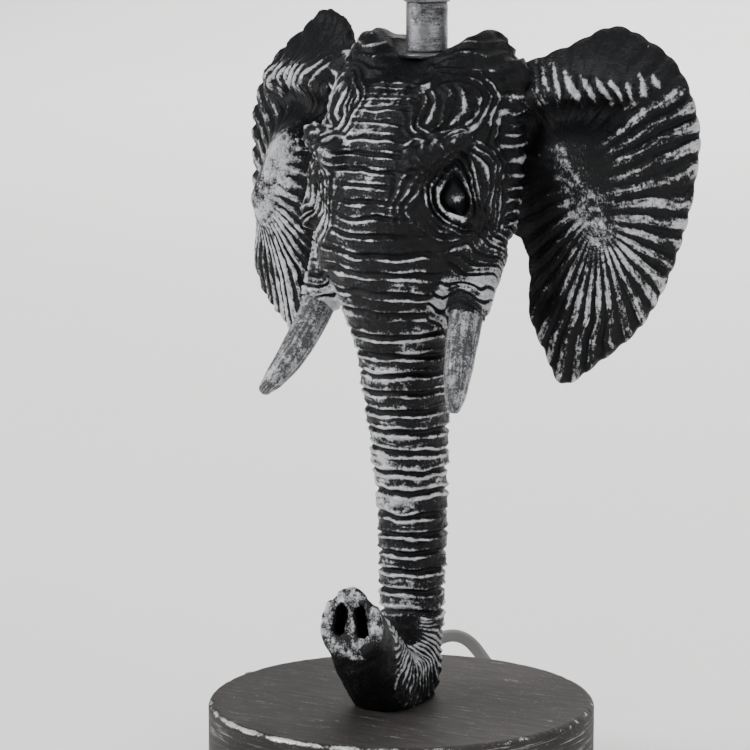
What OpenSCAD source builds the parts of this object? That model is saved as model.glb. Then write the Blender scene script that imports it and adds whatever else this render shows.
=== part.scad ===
// Table lamp with a cast elephant head standing on its trunk on a round drum base.
// Millimetres. The origin is the middle of the underside, +Z is up and the elephant faces -Y.

/* [Base] */
// Diameter of the drum
drum_d = 150; // [146:1:156]
// Height of the drum's top above the table
drum_h = 38; // [36:1:42]
// Thickness of the drum's side wall
drum_wall = 4; // [3:0.5:5]
// Thickness of the drum's top
drum_top = 5; // [4:0.5:6]
// Radius of the drum's top edge
drum_edge_r = 2.5; // [1:0.5:4]

/* [Stem] */
// Outer diameter of the stem sleeve
stem_d = 16; // [14:1:18]
// Distance of the stem's axis behind the drum's axis
stem_y = 19; // [18:1:20]
// Height of the skull seat that carries the stem
seat_z = 286; // [285:1:287]
// Height of the top of the stem sleeve
stem_top_z = 307; // [304:1:310]
// Outer diameter of the threaded conduit tube
tube_d = 10; // [9.5:0.5:10]
// Bore of the conduit tube
tube_bore_d = 7; // [6.5:0.5:7.5]

/* [Lampholder] */
// Bore of the lampholder's screw shell
shell_bore_d = 26.6; // [26:0.1:27]
// Outer diameter of the lampholder's cap
cap_d = 42; // [40:1:44]
// Outer diameter of the shade ring
ring_d = 58; // [54:1:60]

/* [Sculpture] */
// Depth of the rings around the trunk
band_depth = 0.9; // [0:0.1:1.2]
// Distance from one trunk ring to the next
band_pitch = 8; // [7:0.5:9]
// Thickness of an ear
ear_t = 5; // [4:0.5:6]

/* [Flex] */
// Width of the flat twin flex
flex_d = 5.4; // [5:0.1:6]
// Mean radius of the outermost turn of the coil
coil_out_r = 37.9; // [37:0.1:38]
// Mean radius of the innermost turn of the coil
coil_in_r = 23.1; // [22:0.1:24]

/* [Hidden] */

// Drum interior
drum_r = drum_d / 2;
cavity_r = drum_r - drum_wall;
cavity_top = drum_h - drum_top;
rim_lift = 1;
felt_t = 2;
plate_t = 1.5;
plate_top = felt_t + plate_t;
boss_at_r = 64;
boss_d = 9;
ballast_r = 56;
ballast_t = 10;
ballast_z = cavity_top - ballast_t;
washer_t = 2;
base_nut_af = 17;
base_nut_t = 6;

// Axis of the conduit: straight up the trunk, a lean through the head, then straight up the stem
tube_low_y = 7;
tube_foot_z = 13;
tube_end_z = 318;
CONDUIT = [[0, tube_low_y, tube_foot_z], [0, tube_low_y, 70], [0, tube_low_y, 125],
    [0, 8.5, 160], [0, 12.5, 200], [0, 16.8, 235], [0, stem_y, 270], [0, stem_y, 290],
    [0, stem_y, tube_end_z]];

// Lampholder levels
collar_top = stem_top_z + 5;
cap_top = collar_top + 26;
insert_z = cap_top - 6;
insert_top = cap_top + 8;
sleeve_top = cap_top + 32;
shell_z = insert_top;
shell_top = sleeve_top - 2;
bar_z = collar_top + 14;
wall = 1.6;
sleeve_r = 19.5;
contact_at = 13.6;
ring_z = cap_top + 4.3;
bar_y = stem_y + 8;
bar_out = 9;
ring_clear = 0.1;

// Flex
exit_z = 12;
bush_out = 22;
coil_c = [-83, 83];
coil_z = 0.9;
coil_h = 2 * flex_d;
plug_c = [-61.8, 88.5];
plug_turn = 30;
plug_l = 34;
plug_w = 24.6;
plug_t = 13.7;
plug_z = coil_z + coil_h + plug_t / 2;
plug_relief = 18;
pin_l = 19;
pin_d = 4;
pin_gap = 18.6;

// The free flex from the bush over its springy hump to the coil
LEAD = [[0, 97, 12], [0, 106, 12], [-8, 114, 13], [-20, 118, 17.5], [-28.5, 118.5, 25],
    [-33, 116.5, 32], [-39, 114, 35.3], [-46, 112.5, 33], [-56, 114, 26], [-69, 119.5, 16.5],
    [-81, 122, 8.5], [-92, 119.8, 3.6]];
// The end of the flex, from the top of the coil round to the plug that lies on it
TAIL = [[-115.9, 102, 9], [-120.3, 91, 10.5], [-120.6, 79, 12.9], [-115.5, 70.3, 15.8],
    [-105.5, 66.2, 18.1], [-91.9, 71.1, 18.6]];
// The flex that the lamp holds, from the lampholder down the conduit to the bush
INNER = [[0, 19, 330], [0, 19, 318], [0, 19, 290], [0, 19, 270], [0, 16.8, 235], [0, 12.5, 200],
    [0, 8.5, 160], [0, 7, 125], [0, 7, 70], [0, 7, 25], [0, 8.5, 12], [0, 18, 7.6], [0, 34, 7.6],
    [0, 50, 8.2], [0, 64, 12], [0, 72, 12], [0, 97, 12]];

// Stations along the sculpture's middle line, from the skull down the trunk to the snout's face:
// [y, z, lean of the line, half width, depth in front, depth behind, height of the two lobes]
HEAD = [
    [24, 285.4, 0, 3, 3, 3, 0], [24, 285.4, 0, 15, 13, 14, 7], [24, 285, 0, 27, 21, 22, 10.5],
    [23, 277, 0, 36, 29, 28, 8], [19, 264, 0, 40, 35, 31, 4], [13, 250, 0, 42, 37, 32, 1],
    [8, 236, 0, 41, 36, 31, 0], [5, 222, 3, 38, 33, 28, 0], [1, 209, 3, 33, 28, 24, 0],
    [-1, 196, -6, 24, 21, 20, 0], [1, 180, -9, 19, 17.5, 17, 0], [3, 163, -8, 16.8, 15.5, 15.5, 0],
    [5.5, 144, -6, 15.2, 14.4, 14.4, 0], [7.5, 121, -4, 13.8, 13.2, 13.2, 0],
    [8.6, 102, -1, 12.9, 12.4, 12.4, 0], [8.4, 87, 1, 12.2, 11.8, 12, 0],
    [8, 70, 4, 11.8, 11, 12, 0], [6, 57, 22, 12, 9.4, 16, 0], [0, 52, 56, 12.6, 8, 22, 0],
    [-11, 53, 100, 12.6, 9, 21, 0], [-25, 65, 124, 12.6, 11.4, 15.5, 0],
    [-38, 77, 96, 12.6, 12.2, 12.2, 0]];

// Rim of an ear, from the skull over the top and the outer edge to the lower tip and back
EAR_RIM = [[38, 26, 284], [54, 33, 291], [68, 42, 298], [81, 46, 293], [91, 50, 284],
    [97.5, 51, 271], [100.5, 51, 258], [100, 50, 245], [98.5, 48, 231], [95, 45.5, 215], [90, 42, 199],
    [82, 37, 184], [69.5, 29, 171.5], [58, 22, 163.5], [51, 20, 176], [45, 19, 190], [45, 19, 204],
    [43, 18, 216], [36, 16, 224]];
// Point where an ear joins the skull
EAR_ROOT = [33, 16, 252];

// Middle line of a tusk with its radius at each point
TUSK = [[29, 6, 212, 4], [30, 1, 204, 5.6], [31.5, -4, 197, 6.4], [33.5, -12, 185, 6.2], [36.5, -21, 173, 5.4],
    [39.5, -28.5, 165, 4], [41.6, -33, 160.5, 2.2]];

head_sides = 28;
trunk_from_z = 200;
trunk_to_z = 62;

// Catmull-Rom value between b and c, where a and d are their neighbours and t runs from 0 to 1
function between(a, b, c, d, t) =
    0.5 * (2 * b + (c - a) * t + (2 * a - 5 * b + 4 * c - d) * t * t + (3 * b - a - 3 * c + d) * t * t * t);
// Smooth curve through the points p with n steps from each point to the next
function curve(p, n) = [
    for (i = [0 : len(p) - 2]) for (k = [0 : n - 1])
        between(p[max(i - 1, 0)], p[i], p[i + 1], p[min(i + 2, len(p) - 1)], k / n),
    p[len(p) - 1]];
function unit(v) = v / norm(v);
// Direction of the point line p at its point i
function along(p, i) = unit(p[min(i + 1, len(p) - 1)] - p[max(i - 1, 0)]);

// Triangles that join rings of n points into a closed body, with a fan on each end
function skin(rings, n) = concat(
    [for (i = [0 : rings - 2]) for (k = [0 : n - 1])
        let (a = i * n + k, b = i * n + (k + 1) % n) each [[a, b, b + n], [a, b + n, a + n]]],
    [[for (k = [n - 1 : -1 : 0]) k]],
    [[for (k = [0 : n - 1]) (rings - 1) * n + k]]);

// Round bar along the point line p with one radius for each point; ref is never along the line
module bar(p, r, n, ref = [1, 0, 0]) {
    rings = [for (i = [0 : len(p) - 1])
        let (d = along(p, i), side = unit(cross(d, ref)), up = cross(side, d))
        for (k = [0 : n - 1]) p[i] + r[i] * (cos(360 * k / n) * side + sin(360 * k / n) * up)];
    polyhedron(rings, skin(len(p), n));
}

// Flex of even thickness along the point line p
module flex(p, r, steps, ref) {
    line = curve(p, steps);
    bar(line, [for (q = line) r], 8, ref);
}

// One point of the sculpture's skin, on the station s at the angle a
function bump(x, w) = exp(-x * x / (w * w));
function head_point(s, a) =
    let (
        ringed = s[1] < trunk_from_z && s[1] > trunk_to_z,
        groove = ringed ? band_depth * (1 - pow(abs(sin(180 * s[1] / band_pitch)), 0.6)) : 0,
        brow = 2.5 * bump(s[1] - 246, 8) * bump(abs(cos(a)) - 0.72, 0.25) * (sin(a) > 0 ? 1 : 0),
        rx = s[3] - groove + brow,
        ry = (sin(a) > 0 ? s[4] : s[5]) - groove + brow,
        square = sin(a) > 0 ? 1 : 1 - 0.4 * min(1, max(0, s[2]) / 80),
        x = rx * sign(cos(a)) * pow(abs(cos(a)), square),
        depth = ry * sign(sin(a)) * pow(abs(sin(a)), square),
        lift = s[6] * pow(abs(cos(a)), 1.5))
    [x, s[0] - depth * cos(s[2]), max(s[1] + depth * sin(s[2]) + lift, drum_h)];

// Skull, trunk and curled snout as one skin
module head_skin() {
    low = [for (i = [9 : 16]) HEAD[i]];
    stations = concat(curve([for (i = [0 : 9]) HEAD[i]], 2),
        [for (q = curve(low, 9)) if (q[1] < low[0][1] - 1 && q[1] > 70.5) q],
        curve([for (i = [16 : len(HEAD) - 1]) HEAD[i]], 3));
    points = [for (s = stations) for (k = [0 : head_sides - 1]) head_point(s, -360 * k / head_sides)];
    polyhedron(points, skin(len(stations), head_sides));
}

// Nostrils, two blind holes sunk square to the snout's face
module nostrils() {
    for (side = [-1, 1])
        translate([side * 4.6, -44, 78])
            rotate([-90, 0, 0])
                cylinder(d = 6, h = 14, $fn = 24);
}

// The conduit's axis as a solid bar of diameter d
module conduit_path(d) {
    line = curve(CONDUIT, 3);
    bar(line, [for (q = line) d / 2], 16);
}

module head_casting() {
    color("#2b2c2e")
    resize([0, 0, 0])
    difference() {
        head_skin();
        nostrils();
        conduit_path(tube_d + 0.4);
        // flat seat for the stem's washer
        translate([0, stem_y, seat_z]) cylinder(d = 25, h = 30, $fn = 48);
    }
}

// The left ear as a thin cupped leaf, whose root is cast into the skull
module ear() {
    rim = curve(EAR_RIM, 2);
    n = len(rim);
    steps = 6;
    inner = [for (i = [0 : n - 1]) let (t = i / (n - 1)) EAR_ROOT + [0, 4 - 8 * t, 14 - 28 * t]];
    sheet = [for (j = [0 : steps]) for (i = [0 : n - 1])
        let (t = j / steps, flat = inner[i] + (rim[i] - inner[i]) * t,
            cup = 7 * sin(180 * t) * (flat[2] > 235 ? 1 : 0.5),
            rib = 0.7 * sin(360 * i / 4) * t)
        flat + [0, cup + rib, 0]];
    thick = [for (j = [0 : steps]) for (i = [0 : n - 1]) ear_t * (1 - 0.45 * j / steps)];
    front = [for (i = [0 : len(sheet) - 1]) sheet[i] - [0, thick[i] / 2, 0]];
    back = [for (i = [0 : len(sheet) - 1]) sheet[i] + [0, thick[i] / 2, 0]];
    m = len(sheet);
    quads = concat(
        [for (j = [0 : steps - 1]) for (i = [0 : n - 2])
            let (a = j * n + i) each [[a, a + n, a + n + 1, a + 1],
                [m + a, m + a + 1, m + a + n + 1, m + a + n]]],
        [for (i = [0 : n - 2]) let (o = steps * n + i) each [[i, i + 1, m + i + 1, m + i],
            [o + 1, o, m + o, m + o + 1]]],
        [for (j = [0 : steps - 1]) let (a = j * n, b = j * n + n - 1)
            each [[a + n, a, m + a, m + a + n], [b, b + n, m + b + n, m + b]]]);
    faces = [for (q = quads) each [[q[0], q[1], q[2]], [q[0], q[2], q[3]]]];
    color("#3a3b3d") polyhedron(concat(front, back), faces);
}
module ear_left() { ear(); }
module ear_right() { mirror([1, 0, 0]) ear(); }

// One tusk, whose root is cast into the skull
module tusk(side) {
    line = curve([for (p = TUSK) [side * p[0], p[1], p[2]]], 3);
    radius = curve([for (p = TUSK) p[3]], 3);
    color("#8f9194") bar(line, radius, 16);
}
module tusk_left() { tusk(1); }
module tusk_right() { tusk(-1); }

// Quarter round of the drum's top edge, as points from the side to the top
function drum_edge() = [for (a = [0 : 15 : 90])
    [drum_r - drum_edge_r + drum_edge_r * cos(a), drum_h - drum_edge_r + drum_edge_r * sin(a)]];

module base_drum() {
    color("#35322f")
    difference() {
        union() {
            difference() {
                rotate_extrude($fn = 180)
                    polygon(concat([[0, rim_lift], [drum_r, rim_lift]], drum_edge(), [[0, drum_h]]));
                translate([0, 0, -1]) cylinder(r = cavity_r, h = cavity_top + 1, $fn = 180);
            }
            for (a = [30, 150, 270])
                rotate(a) {
                    translate([boss_at_r, 0, plate_top + 0.1])
                        cylinder(d = boss_d, h = cavity_top - plate_top + 1, $fn = 32);
                    translate([boss_at_r, -3, plate_top + 0.1])
                        cube([cavity_r - boss_at_r + 1, 6, cavity_top - plate_top + 1]);
                }
        }
        translate([0, tube_low_y, cavity_top - 1]) cylinder(d = tube_d + 0.4, h = drum_top + 2, $fn = 48);
        for (a = [30, 150, 270])
            rotate(a) translate([boss_at_r, 0, 0]) cylinder(d = 3, h = 16, $fn = 24);
        translate([0, cavity_r - 2, exit_z]) rotate([-90, 0, 0]) cylinder(d = 9.4, h = drum_wall + 4, $fn = 32);
        translate([0, cavity_r - 3, exit_z]) rotate([-90, 0, 0]) cylinder(d = 13.4, h = 3, $fn = 48);
    }
}

module ballast_disc() {
    color("#4a4744")
    difference() {
        translate([0, 0, ballast_z]) cylinder(r = ballast_r, h = ballast_t, $fn = 120);
        translate([0, tube_low_y, ballast_z - 1]) cylinder(d = tube_d + 0.4, h = ballast_t + 2, $fn = 48);
    }
}

module base_plate() {
    color("#6d6f70")
    difference() {
        translate([0, 0, felt_t]) cylinder(r = cavity_r - 0.3, h = plate_t, $fn = 180);
        for (a = [30, 150, 270])
            rotate(a) translate([boss_at_r, 0, 0]) cylinder(d = 3.6, h = 10, $fn = 24);
        for (side = [-1, 1])
            translate([side * 9, 40, 0]) cylinder(d = 2.6, h = 10, $fn = 24);
    }
}

module base_plate_screws() {
    color("#a9abad")
    for (a = [30, 150, 270])
        rotate(a) translate([boss_at_r, 0, 0])
            difference() {
                union() {
                    translate([0, 0, 0.7]) cylinder(d = 6, h = felt_t - 0.7, $fn = 32);
                    translate([0, 0, felt_t - 0.1]) cylinder(d = 2.9, h = 12, $fn = 24);
                }
                for (turn = [0, 90])
                    rotate(turn) translate([-1.8, -0.4, 0]) cube([3.6, 0.8, 1.3]);
            }
}

module felt_disc() {
    color("#1d1d1f")
    difference() {
        cylinder(r = cavity_r - 0.5, h = felt_t, $fn = 180);
        for (a = [30, 150, 270])
            rotate(a) translate([boss_at_r, 0, -1]) cylinder(d = 9, h = 10, $fn = 32);
    }
}

module conduit_tube() {
    line = curve(CONDUIT, 3);
    n = 16;
    steps = len(line);
    rings = [for (d = [tube_d, tube_bore_d]) for (q = line)
        for (k = [0 : n - 1]) q + d / 2 * [cos(360 * k / n), -sin(360 * k / n), 0]];
    m = n * steps;
    walls = [for (i = [0 : steps - 2]) for (k = [0 : n - 1])
        let (a = i * n + k, b = i * n + (k + 1) % n)
            each [[b, a, a + n], [b, a + n, b + n],
                [m + a, m + b, m + b + n], [m + a, m + b + n, m + a + n]]];
    last = (steps - 1) * n;
    ends = [for (k = [0 : n - 1]) let (b = (k + 1) % n)
        each [[k, b, m + b], [k, m + b, m + k],
            [last + b, last + k, m + last + k], [last + b, m + last + k, m + last + b]]];
    color("#b9a36a") polyhedron(rings, concat(walls, ends));
}

module base_washer() {
    color("#b0b2b3")
    translate([0, tube_low_y, ballast_z - washer_t])
        difference() {
            cylinder(d = 30, h = washer_t, $fn = 64);
            translate([0, 0, -1]) cylinder(d = tube_d + 0.2, h = washer_t + 2, $fn = 48);
        }
}

module base_nut() {
    color("#b0b2b3")
    translate([0, tube_low_y, ballast_z - washer_t - base_nut_t])
        difference() {
            cylinder(d = base_nut_af / cos(30), h = base_nut_t, $fn = 6);
            translate([0, 0, -1]) cylinder(d = tube_d, h = base_nut_t + 2, $fn = 48);
        }
}

module head_washer() {
    color("#4c4e51")
    translate([0, stem_y, seat_z])
        difference() {
            cylinder(d = 22.6, h = washer_t, $fn = 64);
            translate([0, 0, -1]) cylinder(d = tube_d + 0.2, h = washer_t + 2, $fn = 48);
        }
}

// Plain tube standing on the stem's axis
module ring(outer, bore, z0, z1) {
    translate([0, stem_y, z0])
        difference() {
            cylinder(d = outer, h = z1 - z0, $fn = 64);
            translate([0, 0, -1]) cylinder(d = bore, h = z1 - z0 + 2, $fn = 64);
        }
}

module stem_sleeve() { color("#7d8083") ring(stem_d, tube_d + 0.2, seat_z + washer_t, stem_top_z); }
module stem_collar() { color("#8a8d90") ring(stem_d + 2, tube_d, stem_top_z, collar_top); }

module holder_cap() {
    r = cap_d / 2;
    color("#1e1e20")
    translate([0, stem_y, collar_top])
        difference() {
            rotate_extrude($fn = 72)
                polygon([[5.2, 0], [9, 0], [9, 5], [12, 8], [r - 3, 8], [r, 11], [r, 26], [r - wall, 26],
                    [r - wall, 10], [9, 10], [7, 7], [5.2, 7]]);
            for (side = [-1, 1])
                translate([side * (r - 3), bar_y - stem_y, bar_z - collar_top])
                    cube([10, 6.8, 5.2], center = true);
        }
}

// Ceramic insert: a disc in the cap with a smaller seat that carries the screw shell
module holder_insert() {
    color("#e4e0d6")
    translate([0, stem_y, 0])
        difference() {
            union() {
                translate([0, 0, insert_z])
                    cylinder(r = cap_d / 2 - wall - 0.2, h = cap_top - insert_z, $fn = 72);
                translate([0, 0, cap_top - 0.5]) cylinder(r = 16, h = insert_top - cap_top + 0.5, $fn = 64);
            }
            for (side = [-1, 1]) translate([side * 10, 0, insert_z - 1]) cylinder(d = 3, h = 20, $fn = 24);
            translate([0, 0, insert_z - 1]) cylinder(d = 6, h = 20, $fn = 32);
            translate([0, contact_at, insert_z - 1]) cylinder(d = 3.2, h = 20, $fn = 24);
        }
}

module contact_centre() {
    color("#c9a64e")
    translate([0, stem_y, insert_z]) {
        cylinder(d = 5.8, h = insert_top - insert_z - 2.5, $fn = 32);
        translate([0, 0, insert_top - insert_z - 2.5]) sphere(d = 5, $fn = 32);
    }
}

module contact_side() {
    color("#c9a64e")
    translate([0, stem_y + contact_at, insert_z]) cylinder(d = 3, h = insert_top - insert_z, $fn = 24);
}

module screw_shell() {
    color("#c9a64e")
    translate([0, stem_y, shell_z])
        rotate_extrude($fn = 96)
            polygon(concat([[shell_bore_d / 2, 0], [shell_bore_d / 2 + 0.6, 0]],
                [for (k = [0 : 18]) [shell_bore_d / 2 + 0.9 + 0.4 * cos(k * 60), 1.5 + k]],
                [[shell_bore_d / 2 + 0.6, shell_top - shell_z],
                    [shell_bore_d / 2, shell_top - shell_z]]));
}

module holder_sleeve() {
    color("#1e1e20")
    translate([0, stem_y, cap_top])
        difference() {
            union() {
                cylinder(r = sleeve_r, h = sleeve_top - cap_top, $fn = 96);
                cylinder(r = cap_d / 2, h = 4, $fn = 96);
            }
            translate([0, 0, -1]) cylinder(r = sleeve_r - 3, h = sleeve_top - cap_top + 2, $fn = 96);
        }
}

module shade_ring() {
    color("#1e1e20")
    translate([0, stem_y, ring_z])
        difference() {
            union() {
                cylinder(r = sleeve_r + 3, h = 9, $fn = 96);
                cylinder(d = ring_d, h = 2, $fn = 96);
                for (a = [0 : 30 : 330])
                    rotate(a) translate([sleeve_r + 2, -1.5, 0]) cube([2.4, 3, 9]);
            }
            translate([0, 0, -1]) cylinder(r = sleeve_r + ring_clear, h = 12, $fn = 96);
        }
}

module terminal_screws() {
    color("#b9bbbd")
    for (side = [-1, 1])
        translate([side * 10, stem_y, insert_z - 2]) {
            difference() {
                cylinder(d = 5, h = 2, $fn = 24);
                translate([-3, -0.4, -1]) cube([6, 0.8, 1.8]);
            }
            translate([0, 0, 1.9]) cylinder(d = 2.9, h = 9, $fn = 24);
        }
}

// Push bar through the cap: pressed from one side for on and from the other for off
module switch_bar() {
    color("#2a2a2c")
    translate([-bar_out / 3, bar_y, bar_z])
        difference() {
            cube([cap_d + bar_out + 3, 6, 4.4], center = true);
            // finger grooves near the two ends
            for (side = [-1, 1])
                for (k = [0 : 2])
                    translate([side * (cap_d / 2 + 5.2 - k * 2), -3.4, -3]) cube([0.8, 0.8, 6]);
        }
}

module cord_bush() {
    color("#161618")
    translate([0, cavity_r, exit_z])
        rotate([-90, 0, 0])
            difference() {
                union() {
                    translate([0, 0, -2.5]) cylinder(d = 13, h = 2.5, $fn = 48);
                    translate([0, 0, -0.1]) cylinder(d = 9.2, h = drum_wall + 0.1, $fn = 48);
                    translate([0, 0, drum_wall]) cylinder(d1 = 11, d2 = 8, h = bush_out, $fn = 48);
                }
                translate([0, 0, -4]) cylinder(d = flex_d + 0.2, h = bush_out + 12, $fn = 48);
            }
}

module cord_clamp() {
    color("#2c2c2e")
    difference() {
        translate([-14, 36, plate_top]) cube([28, 8, 9]);
        translate([0, 30, 7.7]) rotate([-90, 0, 0]) cylinder(d = flex_d + 0.2, h = 20, $fn = 32);
        translate([-flex_d / 2 - 0.1, 30, plate_top - 1]) cube([flex_d + 0.2, 20, 5.2]);
        for (side = [-1, 1])
            translate([side * 9, 40, 0]) cylinder(d = 3.2, h = 20, $fn = 24);
    }
}

module clamp_screws() {
    color("#a9abad")
    for (side = [-1, 1])
        translate([side * 9, 40, 0]) {
            translate([0, 0, felt_t]) cylinder(d = 2.5, h = plate_top + 9 - felt_t + 0.1, $fn = 24);
            difference() {
                translate([0, 0, plate_top + 9]) cylinder(d = 5.4, h = 1.8, $fn = 24);
                translate([-2, -0.4, plate_top + 10]) cube([4, 0.8, 2]);
            }
        }
}

module inner_cord() { color("#57585a") flex(INNER, 2.6, 3, [1, 0, 0]); }
module cord_lead() { color("#6f7072") flex(LEAD, flex_d / 2, 4, [0, 0, 1]); }
module cord_tail() { color("#6f7072") flex(TAIL, flex_d / 2, 4, [0, 0, 1]); }

module cord_coil() {
    color("#6f7072")
    translate([coil_c[0], coil_c[1], coil_z])
        difference() {
            cylinder(r = coil_out_r + 1.9, h = coil_h, $fn = 96);
            translate([0, 0, -1]) cylinder(r = coil_in_r - 1.9, h = coil_h + 2, $fn = 96);
        }
}

// Tie round the coil where it lies nearest the drum
module coil_tie() {
    inner = coil_in_r - 1.9;
    outer = coil_out_r + 1.9;
    color("#1b1b1c")
    translate([coil_c[0], coil_c[1], 0])
        rotate(-45)
            difference() {
                translate([inner - 1.2, -4, 0]) cube([outer - inner + 2.4, 8, coil_z + coil_h + 0.8]);
                translate([inner - 0.4, -5, coil_z]) cube([outer - inner + 0.8, 10, coil_h]);
            }
}

// Places something at the plug, with +X towards its pins
module at_plug() {
    translate([plug_c[0], plug_c[1], plug_z + 0.8]) rotate(plug_turn) children();
}

module plug_body() {
    color("#161618")
    at_plug() {
        difference() {
            union() {
                translate([-plug_l / 2, -plug_w / 2 + 5, -plug_t / 2]) cube([plug_l, plug_w - 10, plug_t]);
                for (side = [-1, 1])
                    translate([-plug_l / 2, side * (plug_w / 2 - plug_t / 2), 0])
                        rotate([0, 90, 0])
                            cylinder(d = plug_t, h = plug_l, $fn = 48);
                translate([-plug_l / 2 - plug_relief, 0, 0])
                    rotate([0, 90, 0])
                        cylinder(d1 = 8, d2 = 11, h = plug_relief + 1, $fn = 48);
            }
            for (side = [-1, 1])
                translate([plug_l / 2 - 14, side * pin_gap / 2, 0])
                    rotate([0, 90, 0])
                        cylinder(d = pin_d, h = 20, $fn = 32);
        }
    }
}

module plug_pins() {
    color("#c7c9cb")
    at_plug()
        for (side = [-1, 1])
            translate([plug_l / 2 - 14, side * pin_gap / 2, 0])
                rotate([0, 90, 0]) {
                    cylinder(d = pin_d, h = 14 + pin_l - pin_d / 2, $fn = 32);
                    translate([0, 0, 14 + pin_l - pin_d / 2]) sphere(d = pin_d, $fn = 32);
                }
}

base_drum();
ballast_disc();
base_plate();
base_plate_screws();
felt_disc();
head_casting();
ear_left();
ear_right();
tusk_left();
tusk_right();
conduit_tube();
base_washer();
base_nut();
head_washer();
stem_sleeve();
stem_collar();
holder_cap();
holder_insert();
contact_centre();
contact_side();
screw_shell();
holder_sleeve();
shade_ring();
terminal_screws();
switch_bar();
cord_bush();
cord_clamp();
clamp_screws();
inner_cord();
cord_lead();
cord_coil();
cord_tail();
coil_tie();
plug_body();
plug_pins();
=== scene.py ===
"""Elephant-head table lamp: sculpted head on its trunk, drum base, stem, lampholder and flex.

Lengths are in metres. The sculpted pieces are worked out in millimetres and scaled once they are made.
"""
from __future__ import annotations

import logging
import math
from dataclasses import dataclass
from enum import Enum
from typing import Callable, Iterable, Sequence

import bmesh
import bpy
import numpy as np
import openvdb
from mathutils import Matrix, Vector


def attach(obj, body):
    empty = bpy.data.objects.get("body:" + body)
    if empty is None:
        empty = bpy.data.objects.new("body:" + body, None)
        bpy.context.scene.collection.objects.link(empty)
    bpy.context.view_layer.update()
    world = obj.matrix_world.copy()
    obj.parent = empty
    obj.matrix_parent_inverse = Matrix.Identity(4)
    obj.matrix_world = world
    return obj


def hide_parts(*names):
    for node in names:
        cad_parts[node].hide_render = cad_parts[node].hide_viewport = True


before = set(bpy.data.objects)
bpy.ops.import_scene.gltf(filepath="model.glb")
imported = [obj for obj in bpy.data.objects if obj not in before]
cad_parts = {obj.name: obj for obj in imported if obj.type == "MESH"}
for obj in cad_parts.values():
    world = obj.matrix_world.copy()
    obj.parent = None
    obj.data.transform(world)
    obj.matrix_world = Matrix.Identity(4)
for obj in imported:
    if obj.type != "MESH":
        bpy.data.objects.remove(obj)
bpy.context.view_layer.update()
LOG = logging.getLogger("lamp")
MM = 0.001
LAMP = "lamp"
Shape = Callable[[np.ndarray, np.ndarray], np.ndarray]


# ------------------------------------------------------------------ numbers

def smoothstep(low: float, high: float, x: np.ndarray) -> np.ndarray:
    """Smooth rise from 0 at low to 1 at high; it falls where low is above high."""
    t = np.clip((x - low) / (high - low), 0.0, 1.0)
    return t * t * (3.0 - 2.0 * t)


def bell(x: np.ndarray, middle: float, width: float) -> np.ndarray:
    """Bell curve: 1 where x is at the middle, and about a third one width away from it."""
    return np.exp(-((x - middle) / width) ** 2)


def spline(points: Sequence[Sequence[float]], steps: int) -> np.ndarray:
    """Smooth curve through points, at even parameter steps.

    Args:
        points: rows of numbers; every column is smoothed alike.
        steps: pieces from each point to the next.

    Returns:
        The rows of the curve, ends included.
    """
    p = np.asarray(points, float)
    padded = np.vstack([2 * p[0] - p[1], p, 2 * p[-1] - p[-2]])
    t = np.linspace(0.0, 1.0, steps, endpoint=False)[:, None]
    rows = []
    for i in range(len(p) - 1):
        a, b, c, d = padded[i:i + 4]
        rows.append(0.5 * (2 * b + (c - a) * t + (2 * a - 5 * b + 4 * c - d) * t ** 2
                           + (3 * b - a - 3 * c + d) * t ** 3))
    return np.vstack(rows + [p[-1:]])


def even(points: np.ndarray, gap: float) -> np.ndarray:
    """Points at even distances of about gap along the line through points."""
    run = np.concatenate([[0.0], np.cumsum(np.linalg.norm(np.diff(points, axis=0), axis=1))])
    wanted = np.linspace(0.0, run[-1], max(int(run[-1] / gap), 2) + 1)
    return np.stack([np.interp(wanted, run, points[:, k]) for k in range(points.shape[1])], 1)


class Noise:
    """Smooth repeatable noise between -1 and 1 in three dimensions."""

    SIZE = 48

    def __init__(self, seed: int) -> None:
        """Fills the lattice from a fixed seed."""
        self.lattice = np.random.default_rng(seed).uniform(-1, 1, (self.SIZE,) * 3).astype(np.float32)

    def __call__(self, p: np.ndarray, scale: float) -> np.ndarray:
        """Noise at the points p with lumps of about scale, in p's own unit."""
        q = p / scale
        cell = np.floor(q).astype(int)
        f = q - cell
        f = (f * f * (3 - 2 * f)).astype(np.float32)
        total = np.zeros(len(p), np.float32)
        for corner in range(8):
            step = np.array([corner & 1, corner >> 1 & 1, corner >> 2 & 1])
            at = (cell + step) % self.SIZE
            weight = np.prod(np.where(step, f, 1 - f), axis=1)
            total += weight * self.lattice[at[:, 0], at[:, 1], at[:, 2]]
        return total

    def rough(self, p: np.ndarray, scale: float, octaves: int = 3) -> np.ndarray:
        """Noise with finer noise added on it, each octave half as large and half as strong."""
        return sum(self(p + 7.3 * k, scale / 2 ** k) / 2 ** k for k in range(octaves)) / 1.6


def fold(phase: np.ndarray, groove: float = 0.3) -> np.ndarray:
    """Rounded skin folds: 1 on their backs, 0 in the narrow grooves at whole numbers of phase."""
    side = np.abs(phase - np.floor(phase) - 0.5) * 2
    back = 1 - smoothstep(1 - groove, 1.0, side)
    lip = bell(side, 0.9 - groove, 0.14)
    return 0.72 * back + 0.28 * lip


def crest(phase: np.ndarray) -> np.ndarray:
    """Sharp wrinkles: thin crests at half numbers of phase with wide valleys between them."""
    side = np.abs(phase - np.floor(phase) - 0.5) * 2
    return (1 - side) ** 1.35


# ------------------------------------------------------------------ meshes

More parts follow.
